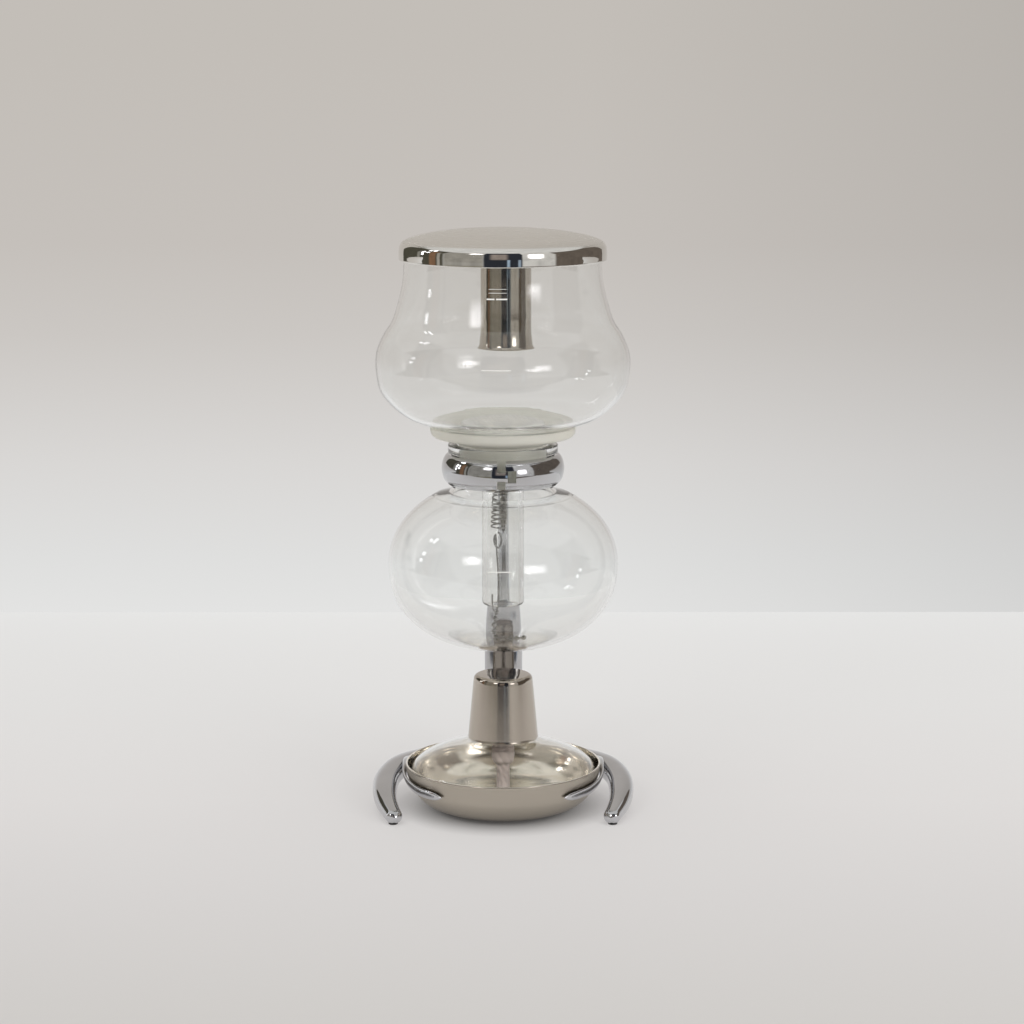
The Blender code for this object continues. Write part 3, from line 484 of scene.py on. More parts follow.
def cotton_finish(name, tone, weave=1500.0):
    """Woven cotton: two crossed sets of threads, with loose fibre between them."""
    made = Finish(name, tone, 0.9)
    threads = []
    for stretch in ((1, 0.15, 1), (0.15, 1, 0.15)):
        wave = made.node("ShaderNodeTexWave", {
            "Vector": made.place(stretch), "Scale": weave / 6.0, "Distortion": 1.2,
            "Detail": 2.0, "Detail Scale": 2.0}, wave_type="BANDS", bands_direction="DIAGONAL")
        threads.append(wave.outputs["Fac"])
    woven = made.maths("MAXIMUM", threads[0], threads[1])
    fibre = made.noise(made.place(), 2200.0, 4.0, 0.7)
    made.set("Base Color", made.mixed(made.ranged(woven, 0, 1, 0.2, 0.9),
                                      tuple(0.88 * c for c in tone), tone))
    made.set("Sheen Weight", 0.4)
    made.bump(woven, 0.00025, 0.7).bump(fibre, 0.0001, 0.5)
    return made.material


def print_finish():
    """The pale fired-on colour of the level lines."""
    made = Finish("level_print", (0.82, 0.81, 0.78), 0.55)
    speckle = made.noise(made.place(), 2600.0, 3.0, 0.7)
    made.set("Base Color", made.mixed(speckle, (0.88, 0.87, 0.84), (0.70, 0.69, 0.66)))
    made.bump(speckle, 0.00002)
    return made.material


bowl_glass = glass_finish("clear_glass", (0.985, 0.99, 0.985))
lamp_glass = glass_finish("lamp_glass", (0.985, 0.98, 0.965), wave=0.0001, haze=0.04)
chrome = chrome_finish()
lid_nickel = nickel_finish("satin_nickel_lid", (0.82, 0.80, 0.76), 0.28, [(0.300, 0.3167)])
tube_nickel = nickel_finish("bright_nickel_tube", (0.52, 0.475, 0.41), 0.11)
# the dish's near-white inside tone is painted light on its inner faces
dish_nickel = nickel_finish("satin_nickel_dish", (0.50, 0.455, 0.39), 0.30, [(0.0247, 0.03)],
                            inside=(0.98, 0.94, 0.86))
cap_nickel = nickel_finish("satin_nickel_cap", (0.50, 0.45, 0.39), 0.18, [(0.0728, 0.08)])
steel = steel_finish()
wire_steel = steel_finish("bright_wire", (0.40, 0.39, 0.37))
brass = brass_finish()
silicone = silicone_finish()
rubber = rubber_finish()
filter_cotton = cotton_finish("filter_cotton", (0.97, 0.95, 0.90))
wick_cotton = cotton_finish("wick_cotton", (0.90, 0.76, 0.70), 900.0)
level_print = print_finish()


# --- the lid ---
def make_lid():
    crown = smooth_curve([(0, 324.5), (18, 324.1), (34, 322.7), (47, 320.3), (53.2, 318.2),
                          (55.6, 316.5)], 10)
    skirt = smooth_curve([(56.5, 314.8), (56.8, 312.0), (56.8, 308.5)], 8)
    outer = crown + skirt
    inner = offset(outer, 1.2)
    inner[0].x = 0
    fold = arc((56.2, 308.1), 0.6, 0, -180, 8)
    stands_for(turned("lid_cover", outer + fold + list(reversed(inner)), lid_nickel, steps=180),
               "lid", "satin_nickel", "lid_cover")

    flange = rounded([(12.9, 322.2), (17.5, 322.2), (17.5, 321.2), (14.6, 320.6), (13.9, 318.5),
                      (13.9, 300)], 0.5)
    flare = smooth_curve([(13.9, 296), (13.9, 280), (13.9, 270.0), (14.1, 265.6), (14.7, 261.8),
                          (15.6, 259.7)], 8)
    lip = arc((15.3, 259.5), 0.5, 10, -190, 8)
    inside = smooth_curve([(14.3, 261.2), (13.4, 264.4), (12.9, 268.0)], 6) + [Vector((12.9, 300))]
    stands_for(turned("lid_stand_tube", flange + flare + lip + inside, tube_nickel, x=1.7,
                      steps=96), "lid", "satin_nickel", "lid_stand_tube")


# --- the upper bowl and what it carries ---
BODY = [(54.0, 313.0), (54.0, 307), (55.0, 294.3), (59.9, 276.0), (65.2, 267.0), (69.2, 257.5),
        (69.6, 247.0), (66.5, 234.5), (55.0, 223.1), (41.0, 217.2), (30.0, 213.2), (26.4, 210.6)]
NECK = [(20.0, 208.4), (14.6, 206.2), (12.2, 203.2), (11.6, 199.0)]
GLASS_WALL = 2.0
STEM_RADIUS, STEM_BORE, STEM_END = 11.6, 8.9, 117.5


def bowl_outline(steps=10):
    return smooth_curve(BODY + NECK, steps)


def make_bowl():
    outer = bowl_outline() + [Vector((STEM_RADIUS, STEM_END))]
    throat = next(i for i, p in enumerate(outer) if p.x < 23)
    inner = offset(outer, GLASS_WALL)[:throat]
    inner += smooth_curve([(19.6, 210.2), (15.2, 209.2), (11.6, 207.2), (9.6, 204.2),
                           (STEM_BORE, 200.0)], 8) + [Vector((STEM_BORE, STEM_END))]
    end = arc((10.25, STEM_END), 1.35, 0, -180, 10)[1:-1]
    rim = arc((53.0, 313.0), 1.0, 180, 0, 10)[1:-1]
    bowl = turned("upper_bowl", outer + end + list(reversed(inner)) + rim, bowl_glass, steps=160)
    stands_for(bowl, "upper_bowl_set", "clear_glass", "upper_bowl")


def make_packing():
    seat = [p for p in offset(bowl_outline(), -0.3) if 12.6 < p.x < 39.6]
    rim = smooth_curve([(39.7, 216.1), (40.1, 215.4), (39.9, 213.6), (39.4, 212.0), (38.3, 210.9),
                        (36.2, 210.2), (33.6, 209.5), (31.0, 208.8), (27.5, 208.0)], 5)
    plug = rounded([(27.5, 208.0), (25.4, 207.3), (24.5, 206.2), (22.8, 187.0), (21.4, 184.0),
                    (12.1, 184.0), (12.1, 199.8)], 1.0)
    turned_piece = turned("silicone_packing", seat + list(reversed(rim + plug[1:])), silicone)
    stands_for(turned_piece, "upper_bowl_set", "silicone", "silicone_packing")


GATHERS = 34


def make_filter():
    """A cotton cover drawn over the plates, gathered underneath."""
    def gathered(radius, z, angle):
        pull = max(0.0, 1 - abs(z - 212.2) / 1.4) * max(0.0, (radius - 12) / 11)
        wave = math.cos(GATHERS * angle)
        return radius - 0.25 * pull * (1 + wave), z + 0.2 * pull * wave

    outer = rounded([(0, 217.4), (22.6, 217.3), (23.6, 215.6), (23.6, 213.4), (22.2, 211.8),
                     (13.0, 211.7), (13.0, 212.4), (21.6, 212.5), (22.8, 213.7), (22.8, 215.4),
                     (22.0, 216.6), (0, 216.7)], 1.2)
    cloth = turned("filter_cloth", outer, filter_cotton, steps=204, shape=gathered)
    stands_for(cloth, "upper_bowl_set", "cotton", "filter_cloth")


SPRING_TOP, SPRING_BOTTOM, SPRING_PITCH, SPRING_LEAN = 204.5, 159.0, 2.5, -2.5
SPRING_RADIUS, SPRING_STEPS = 4.2, 22          # steps in one turn


def make_spring():
    turns = (SPRING_TOP - SPRING_BOTTOM) / SPRING_PITCH
    count = int(turns * SPRING_STEPS)
    points = []
    for k in range(count + 1):
        share = k / count
        angle = math.tau * turns * share
        points.append((SPRING_LEAN * share + SPRING_RADIUS * math.cos(angle),
                       SPRING_RADIUS * math.sin(angle),
                       SPRING_TOP - (SPRING_TOP - SPRING_BOTTOM) * share))
    stands_for(wire("filter_spring", points, 0.45, wire_steel, sides=10), "upper_bowl_set",
               "stainless_steel", "filter_spring")


def make_hook():
    """The wire below the spring: an eye, a long shank and the hook round the stem's end."""
    x, top, end = SPRING_LEAN - 0.4, SPRING_BOTTOM - 1.5, 116.5
    eye = [(x + 2.0 * math.sin(a), 0, top - 4.6 + 4.2 * math.cos(a))
           for a in (math.radians(d) for d in range(0, 331, 12))]
    run = smooth_curve([(x - 0.6, 0, top - 9.2), (x + 0.5, -2.0, end + 13.5),
                        (x + 0.4, -4.2, end + 0.5), (x - 0.9, -8.0, end - 2.2),
                        (x - 2.2, -11.6, end - 1.6), (x - 2.9, -12.9, end + 1.4),
                        (x - 3.0, -13.0, end + 7.7)], 12)
    stands_for(wire("filter_hook", eye + run, 0.5, wire_steel), "upper_bowl_set",
               "stainless_steel", "filter_hook")


GLOBE_RADIUS, GLOBE_Z, GLOBE_DEPTH = 63.7, 139.5, 47.9
BEAD, BEAD_PITCH, LINK = 1.5, 3.9, 0.5
STEPS_PER_BEAD = 26


def make_chain():
    """Hollow beads on short links, as one skin round the chain's course."""
    floor = GLOBE_Z - GLOBE_DEPTH + GLASS_WALL + BEAD + 0.3
    course = smooth_curve([(-3.0, -3.0, 115.6), (-4.2, -3.2, 109.0), (-5.2, -3.4, 102.0),
                           (-4.0, -3.6, floor + 1.6), (1.0, -3.8, floor + 0.1),
                           (7.0, -3.6, floor + 0.3), (14.0, -3.0, floor + 0.9)], 40)
    walked, points, radii, wanted = 0.0, [], [], 0.0
    length = sum((b - a).length for a, b in zip(course, course[1:]))
    last = math.floor(length / BEAD_PITCH) * BEAD_PITCH
    for a, b in zip(course, course[1:]):
        step = (b - a).length
        while wanted <= walked + step and wanted <= last + BEAD * 0.98:
            away = abs((wanted + BEAD_PITCH / 2) % BEAD_PITCH - BEAD_PITCH / 2)
            points.append(a.lerp(b, (wanted - walked) / step))
            radii.append(max(math.sqrt(max(BEAD * BEAD - away * away, 0)), LINK))
            wanted += BEAD_PITCH / STEPS_PER_BEAD
        walked += step
    radii[0] = 0.9
    stands_for(wire("bead_chain", points, radii, wire_steel, sides=20), "upper_bowl_set",
               "stainless_steel", "bead_chain")


# --- the lower globe and its clamp ---
def globe_outline():
    """The lip down to the clamp, and the body from the throat to the foot."""
    lip = rounded([(29.0, 206.2), (30.3, 206.2), (30.3, 201.6), (27.3, 201.6), (27.3, 198.0)], 0.9)
    throat = smooth_curve([(27.3, 186.0), (27.9, 182.6), (30.0, 179.4)], 8)
    upper = oval(GLOBE_RADIUS, 47.0, GLOBE_Z, 2.05, 56, 0, 40)
    lower = oval(GLOBE_RADIUS, GLOBE_DEPTH, GLOBE_Z, 2.25, 0, -90, 60)
    return lip, throat + upper[1:] + lower[1:]


def make_globe():
    lip, body = globe_outline()
    body[-1].x = 0
    inner = offset(body, GLASS_WALL)
    inner[-1].x = 0
    bore = rounded([(24.9, 187.5), (24.9, 206.2), (29.0, 206.2)], 0.9)[:-1]
    globe = turned("lower_globe", lip + body + list(reversed(inner)) + bore, bowl_glass, steps=160)
    stands_for(globe, "stand", "clear_glass", "lower_globe")


RING_TOP, RING_BOTTOM, RING_GAP = 201.2, 184.4, 4.5
STUD_Z, STUD_HOLE = 192, 2.2


def make_ring():
    """The split clamp ring; its joint is stepped, so that one end hooks past the other."""
    outside = smooth_curve([(30.4, RING_TOP), (32.0, 199.7), (33.3, 196.9), (33.9, 192.8),
                            (33.2, 188.6), (31.9, 186.0), (30.2, RING_BOTTOM)], 8)
    inside = [Vector((28.9, RING_BOTTOM + 0.4)), Vector((28.9, RING_TOP - 0.4))]
    ring = turned("clamp_ring", outside + inside, chrome, steps=216)
    front, back, upper, lower, slit, left, step = -38.0, -22.9, 195.6, 190.0, 0.5, -3.0, 5.8
    cuts = [
        block("cut_top", (left, front, upper - slit), (left + RING_GAP, back, 206), chrome),
        block("cut_middle", (left + step, front, lower - slit),
              (left + step + RING_GAP, back, upper + slit), chrome),
        block("cut_bottom", (left, front, 180), (left + RING_GAP, back, lower + slit), chrome),
        block("slit_upper", (left + 0.1, front, upper),
              (left + step + RING_GAP - 0.1, back, upper + slit - 0.05), chrome),
        block("slit_lower", (left + 0.1, front, lower - slit + 0.05),
              (left + step + RING_GAP - 0.1, back, lower), chrome),
        pin("cut_stud", (0, 20, STUD_Z), (0, 40, STUD_Z), STUD_HOLE, chrome)]
    combine(ring, "DIFFERENCE", cuts)
    stands_for(ring, "stand", "polished_chrome", "clamp_ring")


# --- the stand ---
COLUMN_Y, HUB_Z, HUB_END = 73.0, 10.6, 14.5
SCREW_HOLE, SCREW_HEAD, DOWEL_HOLE = 2.4, 4.6, 2.3
TOE_DEGREES, TOE_REACH, TOE_HOLE = 121.5, 70.9, 3.3


def outwards(place):
    return Vector((place.x, place.y, 0)).normalized()


def leaning(place):
    """Outwards and a little down, square to the wall of the lamp's dish."""
    return outwards(place) - Vector((0, 0, PRONG_LEAN))


def make_column():
    low, high, deep = 10.9, 6.0, 3.5
    points = [(0, COLUMN_Y - 1.5, HUB_Z + 8.3, low, deep), (0, COLUMN_Y, 50, low, deep),
              (0, COLUMN_Y + 2, 80, low, deep), (0, COLUMN_Y + 3, 104, 0.85 * low, deep),
              (0, COLUMN_Y + 1.5, 130, 0.72 * low, deep),
              (0, COLUMN_Y - 6, 158, 0.64 * low, deep), (0, COLUMN_Y - 19.5, 180, high, deep),
              (0, COLUMN_Y - 30, 190, high, deep), (0, 34.6, 192, high, deep)]
    column = bar("stand_column", points, chrome, lambda place: Vector((1, 0, 0)), 2.0,
                 (False, False), sides=64, power=3.6)
    combine(column, "DIFFERENCE", [
        pin("cut_column_stud", (0, 30, STUD_Z), (0, 40, STUD_Z), STUD_HOLE, chrome),
        pin("cut_base_screw", (0, COLUMN_Y - 1, 12), (0, COLUMN_Y - 1, 31), SCREW_HOLE,
            chrome)])
    stands_for(column, "stand", "polished_chrome", "stand_column")


def make_hub():
    y, z, end = COLUMN_Y - 1.0, HUB_Z, HUB_END
    points = [(-end - 4, y - 1.9, z, 8.6, 7.4), (-6, y + 0.6, z, 10.4, 7.8),
              (0, y + 1.0, z, 11.0, 7.9), (6, y + 0.6, z, 10.4, 7.8),
              (end + 4, y - 1.9, z, 8.6, 7.4)]
    hub = bar("base_hub", points, chrome, lambda place: Vector((0, 1, 0)), 1.0, (False, False))
    combine(hub, "DIFFERENCE", [
        block("cut_hub_left", (-end - 20, y - 20, -5), (-end, y + 20, 30), chrome),
        block("cut_hub_right", (end, y - 20, -5), (end + 20, y + 20, 30), chrome),
        pin("cut_hub_screw", (0, y, -2), (0, y, 24), SCREW_HOLE, chrome),
        pin("cut_hub_head", (0, y, -2), (0, y, 5.6), SCREW_HEAD, chrome),
        pin("cut_dowel_left", (-24, y - 1.5, z), (-9, y - 1.5, z), DOWEL_HOLE, chrome),
        pin("cut_dowel_right", (9, y - 1.5, z), (24, y - 1.5, z), DOWEL_HOLE, chrome)])
    stands_for(hub, "stand", "polished_chrome", "base_hub")


# degrees from the column, radius, z, half width, half height
ARM_COURSE = ((6, 71.2, HUB_Z, 9.0, 7.5), (16, 70.6, HUB_Z + 0.3, 8.5, 7.4),
              (28, 68.4, 11.9, 7.6, 6.9), (44, 66.4, 13.4, 7.1, 6.5), (62, 66.4, 14.2, 7.1, 6.2),
              (78, 66.4, 12.8, 7.1, 6.0), (93, 66.6, 10.4, 6.9, 6.1), (108, 68.0, 7.2, 6.0, 5.4),
              (125, 72.0, 3.9, 4.3, 3.7))
# the same for the prong that branches off each arm and lies against the lamp's dish
PRONG_COURSE = ((54, 63.5, 16.0, 2.8, 3.0), (64, 61.0, 18.2, 2.5, 3.0), (73, 57.9, 19.8, 1.9, 2.8),
                (82, 56.0, 19.6, 1.3, 2.8), (92, 55.3, 18.2, 1.0, 2.9),
                (104, 54.7, 16.9, 1.0, 3.0), (118, 54.5, 16.2, 1.0, 3.0),
                (130, 54.5, 16.2, 1.0, 2.8), (137, 54.5, 16.3, 0.9, 2.2),
                (142, 54.4, 16.4, 0.7, 1.0))
PRONG_LEAN = 0.3


def round_about(course, sign):
    """A course as points in space; sign is -1 for the left side."""
    points = []
    for degrees, radius, z, half_width, half_height in course:
        angle = math.radians(degrees)
        points.append((sign * radius * math.sin(angle), radius * math.cos(angle), z, half_width,
                       half_height))
    return points


def make_arms():
    for side, sign in (("left", -1), ("right", 1)):
        arm = bar(f"base_arm_{side}", round_about(ARM_COURSE, sign), chrome, outwards, 3.4,
                  (False, True), sides=48, power=2.3, steps=16)
        prong = bar(f"prong_{side}", round_about(PRONG_COURSE, sign), chrome, leaning, 5.0,
                    (False, True), sides=32, power=2.2, steps=14)
        y, edge = COLUMN_Y - 2.5, HUB_END + 0.3
        toe = math.radians(TOE_DEGREES)
        toe_x, toe_y = sign * TOE_REACH * math.sin(toe), TOE_REACH * math.cos(toe)
        combine(arm, "UNION", [prong], 38)
        combine(arm, "DIFFERENCE", [
            pin(f"cut_toe_{side}", (toe_x, toe_y, -2), (toe_x, toe_y, 1.1), TOE_HOLE, chrome),
            pin(f"cut_arm_dowel_{side}", (sign * 9, y, HUB_Z), (sign * 21.5, y, HUB_Z),
                DOWEL_HOLE, chrome),
            block(f"cut_arm_{side}", (-edge, y - 20, -5), (edge, y + 20, 30), chrome)], 38)
        stands_for(arm, "stand", "polished_chrome", f"base_arm_{side}")


# --- the spirit lamp ---
def dish_outline():
    return smooth_curve([(54.6, 25.0), (54.0, 20.0), (51.5, 12.5), (46.0, 5.6), (38.0, 1.7),
                         (30.0, 0.0)], 10)


def make_dish():
    outer = dish_outline() + [Vector((20, 0.0)), Vector((0, 0.0))]
    inner = offset(outer, 1.0)
    inner[-1].x = 0
    rolled = arc((54.15, 25.1), 0.55, 200, -10, 10)
    stands_for(turned("lamp_dish", rolled + outer[1:] + list(reversed(inner[1:])), dish_nickel,
                      steps=160), "lamp", "satin_nickel", "lamp_dish")


def make_reservoir():
    neck = rounded([(12.6, 47.0), (14.0, 47.0), (14.0, 41.6), (15.0, 39.0)], 0.7)
    dome = smooth_curve([(15.2, 38.8), (19.0, 37.9), (24.0, 36.9), (34.0, 33.9), (43.0, 30.0),
                         (49.4, 25.8), (52.0, 21.8)], 8)
    inset = [p for p in offset(dish_outline(), 1.6) if p.y < 18.6]
    outer = neck + dome + inset + [Vector((0, inset[-1].y))]
    start = len(neck) - 2
    inner = offset(outer[start:], 1.8)
    inner[-1].x = 0
    bore = [Vector((12.2, 40.0)), Vector((12.2, 46.4))]
    inner = [p for p in inner if p.x > 12.6 or p.y < 30]
    stands_for(turned("lamp_reservoir", outer + list(reversed(inner)) + bore, lamp_glass,
                      steps=160), "lamp", "clear_glass", "lamp_reservoir")


BURNER_Z = 47.0              # the rim of the lamp's neck
MILLED_TEETH = 60


def make_burner():
    """Collar with a milled edge, the wick's tube with its flange, and the gasket."""
    def milled(radius, z, angle):
        on_edge = radius > 15.2 and 46.0 < z < 49.6
        groove = 0.28 * (0.5 + 0.5 * math.cos(MILLED_TEETH * angle))
        return (radius - groove if on_edge else radius), z

    top = BURNER_Z
    collar = rounded([(6.5, top + 1.7), (6.5, top + 3.6), (14.4, top + 3.6), (15.6, top + 2.7),
                      (15.6, top - 1.6), (14.5, top - 1.6), (14.5, top + 1.6), (6.5, top + 1.7)],
                     0.3, 3)[:-1]
    dense = []
    for a, b in zip(collar, collar[1:] + collar[:1]):
        steps = max(1, int((b - a).length / 0.8))
        dense += [a.lerp(b, k / steps) for k in range(steps)]
    stands_for(turned("burner_collar", dense, brass, steps=360, shape=milled), "burner_head",
               "burner_brass", "burner_collar")
    tube = rounded([(5.4, top - 9.0), (5.4, top + 10.6), (6.2, top + 10.6), (6.2, top + 4.9),
                    (8.6, top + 4.9), (8.6, top + 3.9), (6.2, top + 3.9), (6.2, top - 9.0),
                    (5.4, top - 9.0)], 0.25, 3)[:-1]
    stands_for(turned("wick_tube", tube, brass, steps=SMALL), "burner_head", "burner_brass",
               "wick_tube")
    gasket = rounded([(12.3, top + 0.3), (14.0, top + 0.3), (14.0, top + 1.3), (12.3, top + 1.3),
                      (12.3, top + 0.3)], 0.3, 3)[:-1]
    stands_for(turned("collar_gasket", gasket, rubber, steps=SMALL), "burner_head",
               "black_rubber", "collar_gasket")


def make_wick():
    """Twisted cotton: eight strands that show as slanting ridges, frayed at the tip."""
    def twisted(radius, z, angle):
        if radius < 0.5:
            return radius, z
        strand = abs(math.cos(4 * angle + z * 0.42))
        fray = 0.5 * math.sin(11 * angle) * max(0.0, (z - 59.0) / 2.0)
        return radius * (0.93 + 0.07 * strand), z + fray * (radius / 5)

    course = rounded([(0, 60.8), (5.0, 60.8), (5.0, 34.2), (6.4, 33.2), (6.4, 26.4), (5.0, 24.8),
                      (3.7, 24.2), (3.7, 7.2), (0, 7.0)], 0.8)
    outline = []
    for a, b in zip(course, course[1:]):
        steps = max(1, int((b - a).length / 0.7))
        outline += [a.lerp(b, k / steps) for k in range(steps)]
    outline.append(course[-1])
    stands_for(turned("wick", outline, wick_cotton, steps=96, shape=twisted), "wick", "cotton",
               "wick")


def make_cap():
    edge = arc((13.9, 73.4), 2.6, 90, 8, 12)
    side = smooth_curve([edge[-1], (17.6, 62.0), (18.7, 50.0), (19.6, 40.6)], 8)
    outer = [Vector((0, 76.0)), Vector((7, 76.0))] + edge + side[1:]
    inner = offset(outer, 1.0)
    inner[0].x = 0
    hem = arc((19.15, 40.45), 0.5, 0, -180, 8)
    stands_for(turned("snuffer_cap", outer + hem + list(reversed(inner)), cap_nickel,
                      steps=120), "cap", "satin_nickel", "snuffer_cap")


# --- level lines ---
def level_line(name, body, outline, z, height, start, end):
    """A thin raised line that follows the glass; start and end are degrees right of the front."""
    solid = bmesh.new()
    levels = (z - height / 2, z + height / 2)
    steps = 16

    def radius_at(level):
        for a, b in zip(outline, outline[1:]):
            if min(a.y, b.y) <= level <= max(a.y, b.y) and a.y != b.y:
                return a.x + (b.x - a.x) * (level - a.y) / (b.y - a.y)
        return outline[-1].x

    rings = []
    for k in range(steps + 1):
        angle = math.radians(start + (end - start) * k / steps - 90)
        ring = []
        for level, lift in ((levels[0], 0.02), (levels[0], 0.12), (levels[1], 0.12),
                            (levels[1], 0.02)):
            r = radius_at(level) + lift
            ring.append(solid.verts.new((r * math.cos(angle), r * math.sin(angle), level)))
        rings.append(ring)
    skin(solid, rings)
    stands_for(to_object(name, solid, level_print), body, "clear_glass")


def make_levels():
    bowl = bowl_outline()
    for name, z, height, start, end in (
            ("bowl_level_line_top", 296.4, 0.22, -7.6, 2.2),
            ("bowl_level_line_upper", 294.4, 0.22, -7.6, 2.2),
            ("bowl_level_line_left", 291.2, 0.7, -8.6, -4.4),
            ("bowl_level_line_right", 291.2, 0.7, -3.4, 2.6),
            ("bowl_level_line_low", 255.2, 0.5, -9.2, 3.6)):
        level_line(name, "upper_bowl_set", bowl, z, height, start, end)
    level_line("globe_level_line", "stand", globe_outline()[1], 146.6, 0.5, -7.4, 4.2)


# --- CAD nodes that stay ---
def finish_nodes():
    for name, node in NODES.items():
        if node.hide_render:
            continue
        finish = rubber if ("pad" in name or "gasket" in name) else steel
        node.data.materials.clear()
        node.data.materials.append(finish)


# --- the studio ---
def to_linear(*levels):
    """Linear light for display levels from 0 to 255."""
    return tuple(((c / 255 + 0.055) / 1.055) ** 2.4 for c in levels)


def flat(name, corners, material):
    mesh = bpy.data.meshes.new(name)
    mesh.from_pydata(corners, [], [tuple(range(len(corners)))])
    mesh.materials.append(material)
    made = bpy.data.objects.new(name, mesh)
    bpy.context.scene.collection.objects.link(made)
    return made


WALL_Y = 0.515
WALL_MIRRORED = 0.47         # shiny surfaces mirror the wall only this far from its middle
WALL_LOW = 0.235             # except below this height
FLOOR_FRONT = 0.62           # how far forward they mirror the floor
FLOOR_REACH = 1.3            # and how far to the sides; beyond, they mirror the room
# how bright the wall is from the floor up, and how much the floor itself glows from front to back
WALL_GLOW = ((0.0, (227, 227, 226)), (0.10, (223, 223, 222)), (0.27, (217, 215, 213)),
             (0.50, (203, 199, 195)), (0.66, (197, 192, 187)), (1.0, (195, 190, 184)))
FLOOR_GLOW = ((0.0, (0.27, 0.255, 0.24)), (0.22, (0.34, 0.325, 0.32)), (0.42, (0.41, 0.395, 0.39)),
              (0.69, (0.45, 0.445, 0.44)), (1.0, (0.48, 0.48, 0.475)))


def make_floor():
    """Paper that glows by itself, darker only close under the brewer."""
    ground = Finish("paper_floor", (0.30, 0.298, 0.295), 0.8)
    y = ground.node("ShaderNodeSeparateXYZ", {0: ground.place()}).outputs[1]
    ground.set("Emission Color", ground.ramp(ground.ranged(y, 0, 1, -0.36, 0.52), FLOOR_GLOW))
    # painted shadow: the floor's glow drops to 0.12 within 36 mm of the axis and is full again by
    # 62 mm
    painted_shadow_distance = ground.node("ShaderNodeVectorMath", {0: ground.place()}, operation="LENGTH")
    ground.set("Emission Strength", ground.ranged(painted_shadow_distance.outputs["Value"], 0.12, 1.0, 0.036,
                                                  0.062))
    ground.set("Specular IOR Level", 0.1)
    ground.bump(ground.noise(ground.place(), 900.0, 3.0), 0.00005, 0.3)
    near, far = FLOOR_REACH, 4.0
    flat("floor", [(-near, -FLOOR_FRONT, 0), (near, -FLOOR_FRONT, 0), (near, WALL_Y, 0),
                   (-near, WALL_Y, 0)], ground.material)
    around = flat("floor_around", [(-far, -far, -0.001), (far, -far, -0.001), (far, far, -0.001),
                                   (-far, far, -0.001)], ground.material)
    around.visible_glossy = around.visible_transmission = False


def make_wall():
    """A glowing wall; metal mirrors only its middle, and nothing sees it from behind."""
    wall = Finish("backdrop_wall", (0.8, 0.8, 0.8), 0.9)
    x, _, z = wall.node("ShaderNodeSeparateXYZ", {0: wall.place()}).outputs
    shade = wall.ramp(wall.ranged(z, 0, 1, 0.0, 0.42), [
        (at, to_linear(*colour)) for at, colour in WALL_GLOW])
    side = wall.ranged(x, 1.0, 0.86, 0.06, 0.42)         # a little darker to the right
    glow = wall.node("ShaderNodeEmission", {"Color": shade, "Strength": side})
    back = wall.node("ShaderNodeNewGeometry").outputs["Backfacing"]
    clear = wall.node("ShaderNodeBsdfTransparent")
    path = wall.node("ShaderNodeLightPath").outputs
    mirrored = wall.maths("MULTIPLY", wall.maths("GREATER_THAN", path["Glossy Depth"], 0.5),
                          wall.maths("SUBTRACT", 1.0, path["Is Singular Ray"]))
    beside = wall.maths("MULTIPLY", wall.maths("GREATER_THAN", wall.maths("ABSOLUTE", x),
                                               WALL_MIRRORED),
                        wall.maths("GREATER_THAN", z, WALL_LOW))
    hidden = wall.maths("MAXIMUM", back, wall.maths("MULTIPLY", mirrored, beside))
    mix = wall.node("ShaderNodeMixShader", {0: hidden, 1: glow.outputs[0], 2: clear.outputs[0]})
    wall.tree.links.new(mix.outputs[0], wall.output.inputs["Surface"])
    flat("backdrop", [(-4, WALL_Y, 0), (4, WALL_Y, 0), (4, WALL_Y, 2.4), (-4, WALL_Y, 2.4)],
         wall.material)


def area_light(name, azimuth, elevation, distance, width, height, power, target=(0, 0, 0.2)):
    """A softbox that faces the brewer; azimuth is degrees right of the front."""
    a, e = math.radians(azimuth - 90), math.radians(elevation)
    centre = Vector(target)
    place = centre + distance * Vector((math.cos(a) * math.cos(e), math.sin(a) * math.cos(e),
                                        math.sin(e)))
    lamp = bpy.data.lights.new(name, "AREA")
    lamp.shape, lamp.size, lamp.size_y, lamp.energy = "RECTANGLE", width, height, power
    made = bpy.data.objects.new(name, lamp)
    made.location = place
    made.rotation_euler = (centre - place).to_track_quat("-Z", "Y").to_euler()
    made.visible_camera = made.visible_glossy = made.visible_transmission = False
    bpy.context.scene.collection.objects.link(made)
    return made


def make_lights():
    area_light("softbox_right", 42, 20, 1.6, 0.75, 0.85, 8)
    area_light("softbox_left", -34, 34, 1.7, 0.55, 0.45, 4)
    area_light("overhead", 0, 84, 1.5, 1.6, 1.2, 7)


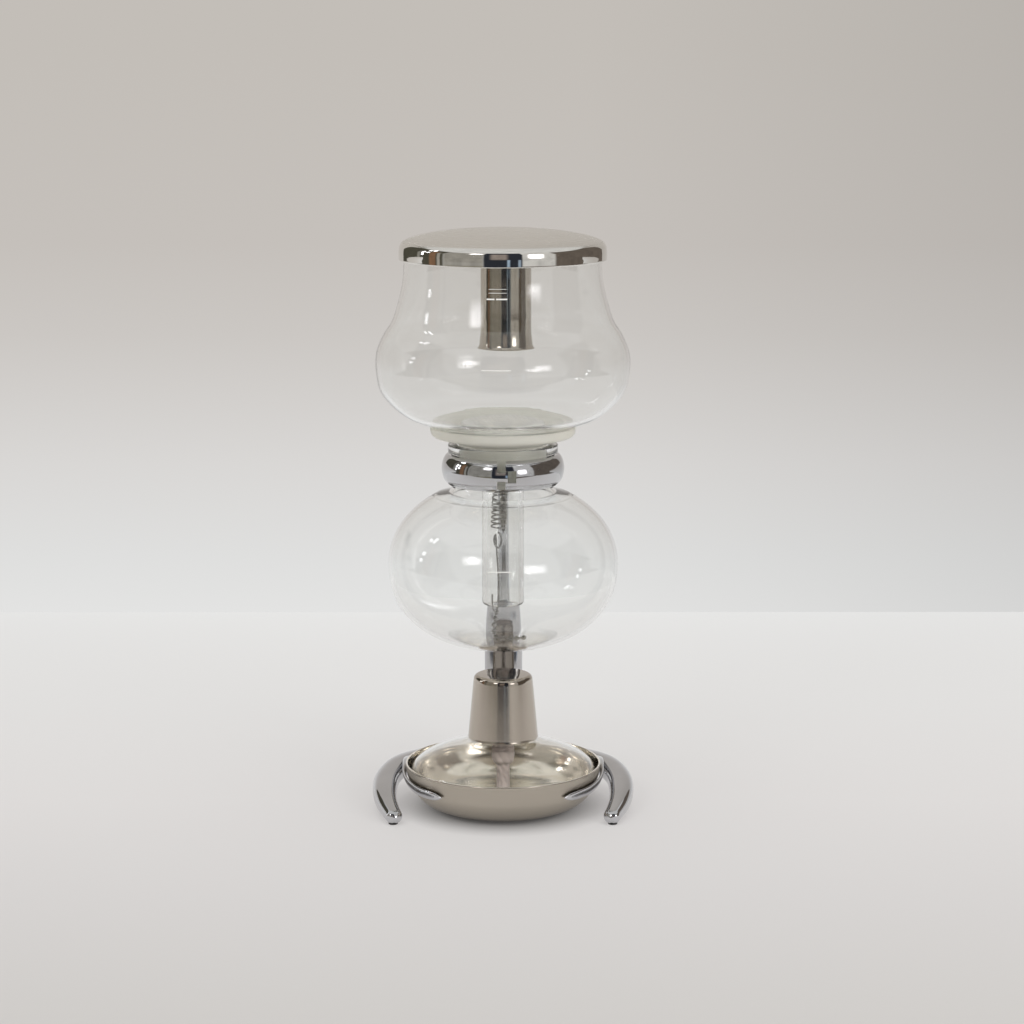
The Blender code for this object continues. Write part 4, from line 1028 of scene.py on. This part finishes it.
# What shiny surfaces mirror: (from, to) degrees right of the front, (from, to) degrees up, how
# soft the patch's edges are, and its light.
ROOM = (
    (-180, -68, -60, 40, 3, (0.085, 0.08, 0.06)),        # the window side, dark between panes
    (-108, -103, -14, 30, 1, (0.30, 0.29, 0.26)),
    (-101, -98, 4, 7, 0.5, (8, 8, 8.3)), (-101, -98, 10, 14, 0.5, (8, 8, 8.3)),
    (-101, -98, 17, 22, 0.5, (8, 8, 8.3)), (-94, -91, 8, 12, 0.5, (8, 8, 8.3)),
    (-94, -91, 16, 21, 0.5, (8, 8, 8.3)), (-101, -97, 32, 36, 0.6, (8, 8, 8.3)),
    (-94, -91, 33, 40, 0.6, (8, 8, 8.3)),
    (-88, -79, -14, 30, 1.5, (0.26, 0.15, 0.09)),
    (-77, -73, -14, 24, 1, (0.42, 0.40, 0.36)),
    (-68, -21, -60, -7, 2, (0.25, 0.23, 0.165)),
    (-68, -21, -7, 38, 2, (0.36, 0.345, 0.31)),          # a pale wall
    (-21, 22, -60, 42, 1.5, (0.030, 0.034, 0.045)),      # the dark middle
    (-13, 5, 1, 26, 3, (0.34, 0.29, 0.26)),
    (5, 8, -14, 0, 0.8, (0.40, 0.52, 0.66)), (17, 20, -14, 0, 0.8, (0.34, 0.42, 0.52)),
    (22, 60, -60, -7, 1, (0.17, 0.145, 0.13)),
    (22, 60, -7, 45, 1.5, (0.72, 0.71, 0.69)),           # a white screen and its lamp
    (30, 44, 6, 17, 4, (6.5, 6.4, 6.5)),
    (-37, -24, 21, 31, 4, (7.5, 7.3, 7.4)),
    (60, 180, -60, 38, 2, (0.15, 0.125, 0.105)))
CEILING = (0.80, 0.80, 0.79)
DEGREES = 180 / math.pi


def make_world():
    """Even light for everything, with the room in its place for what is mirrored."""
    world = bpy.data.worlds.new("studio")
    bpy.context.scene.world = world
    world.use_nodes = True
    world.cycles.sampling_method = "NONE"
    made = Nodes(world.node_tree)
    towards = made.node("ShaderNodeTexCoord").outputs["Generated"]
    x, y, z = made.node("ShaderNodeSeparateXYZ", {0: towards}).outputs
    azimuth = made.maths("MULTIPLY", made.maths("ARCTAN2", x, made.maths("MULTIPLY", y, -1.0)),
                         DEGREES)
    elevation = made.maths("MULTIPLY", made.maths("ARCSINE", z), DEGREES)
    room = CEILING
    for start, end, low, high, soft, light in ROOM:
        inside = made.maths("MULTIPLY", made.within(azimuth, start, end, soft),
                            made.within(elevation, low, high, soft))
        room = made.mixed(inside, room, light)
    shade = made.noise(towards, 7.0, 3.0)
    room = made.mixed(made.ranged(shade, 0.0, 0.3), room, (0.02, 0.02, 0.02))
    even = made.mixed(made.ranged(z, 0, 1, 0.0, 0.8), (0.60, 0.59, 0.57), (0.84, 0.84, 0.84))
    path = made.node("ShaderNodeLightPath").outputs
    mirrored = made.maths("MULTIPLY", made.maths("MAXIMUM", path["Is Glossy Ray"],
                                                 path["Is Transmission Ray"]),
                          made.maths("LESS_THAN", path["Diffuse Depth"], 0.5))
    made.tree.links.new(made.mixed(mirrored, even, room),
                        made.tree.nodes["Background"].inputs["Color"])


LENS, SENSOR = 93.97, 36.0
CAMERA_AT, CAMERA_TILT = (0.005, -1.457, 0.4267), 79.93


def make_camera():
    data = bpy.data.cameras.new("camera")
    data.lens, data.sensor_width = LENS, SENSOR
    camera = bpy.data.objects.new("camera", data)
    camera.location = CAMERA_AT
    camera.rotation_euler = (math.radians(CAMERA_TILT), 0, 0)
    bpy.context.scene.collection.objects.link(camera)
    bpy.context.scene.camera = camera


def make_studio():
    scene = bpy.context.scene
    scene.view_settings.view_transform = "Standard"
    scene.cycles.max_bounces = 32
    scene.cycles.transmission_bounces = 28
    scene.cycles.transparent_max_bounces = 32
    scene.cycles.glossy_bounces = 8
    make_floor()
    make_wall()
    make_lights()
    make_world()
    make_camera()


for make in (make_lid, make_bowl, make_packing, make_filter, make_spring, make_hook, make_chain,
             make_globe, make_ring, make_column, make_hub, make_arms, make_dish, make_reservoir,
             make_burner, make_wick, make_cap, make_levels, finish_nodes, make_studio):
    make()
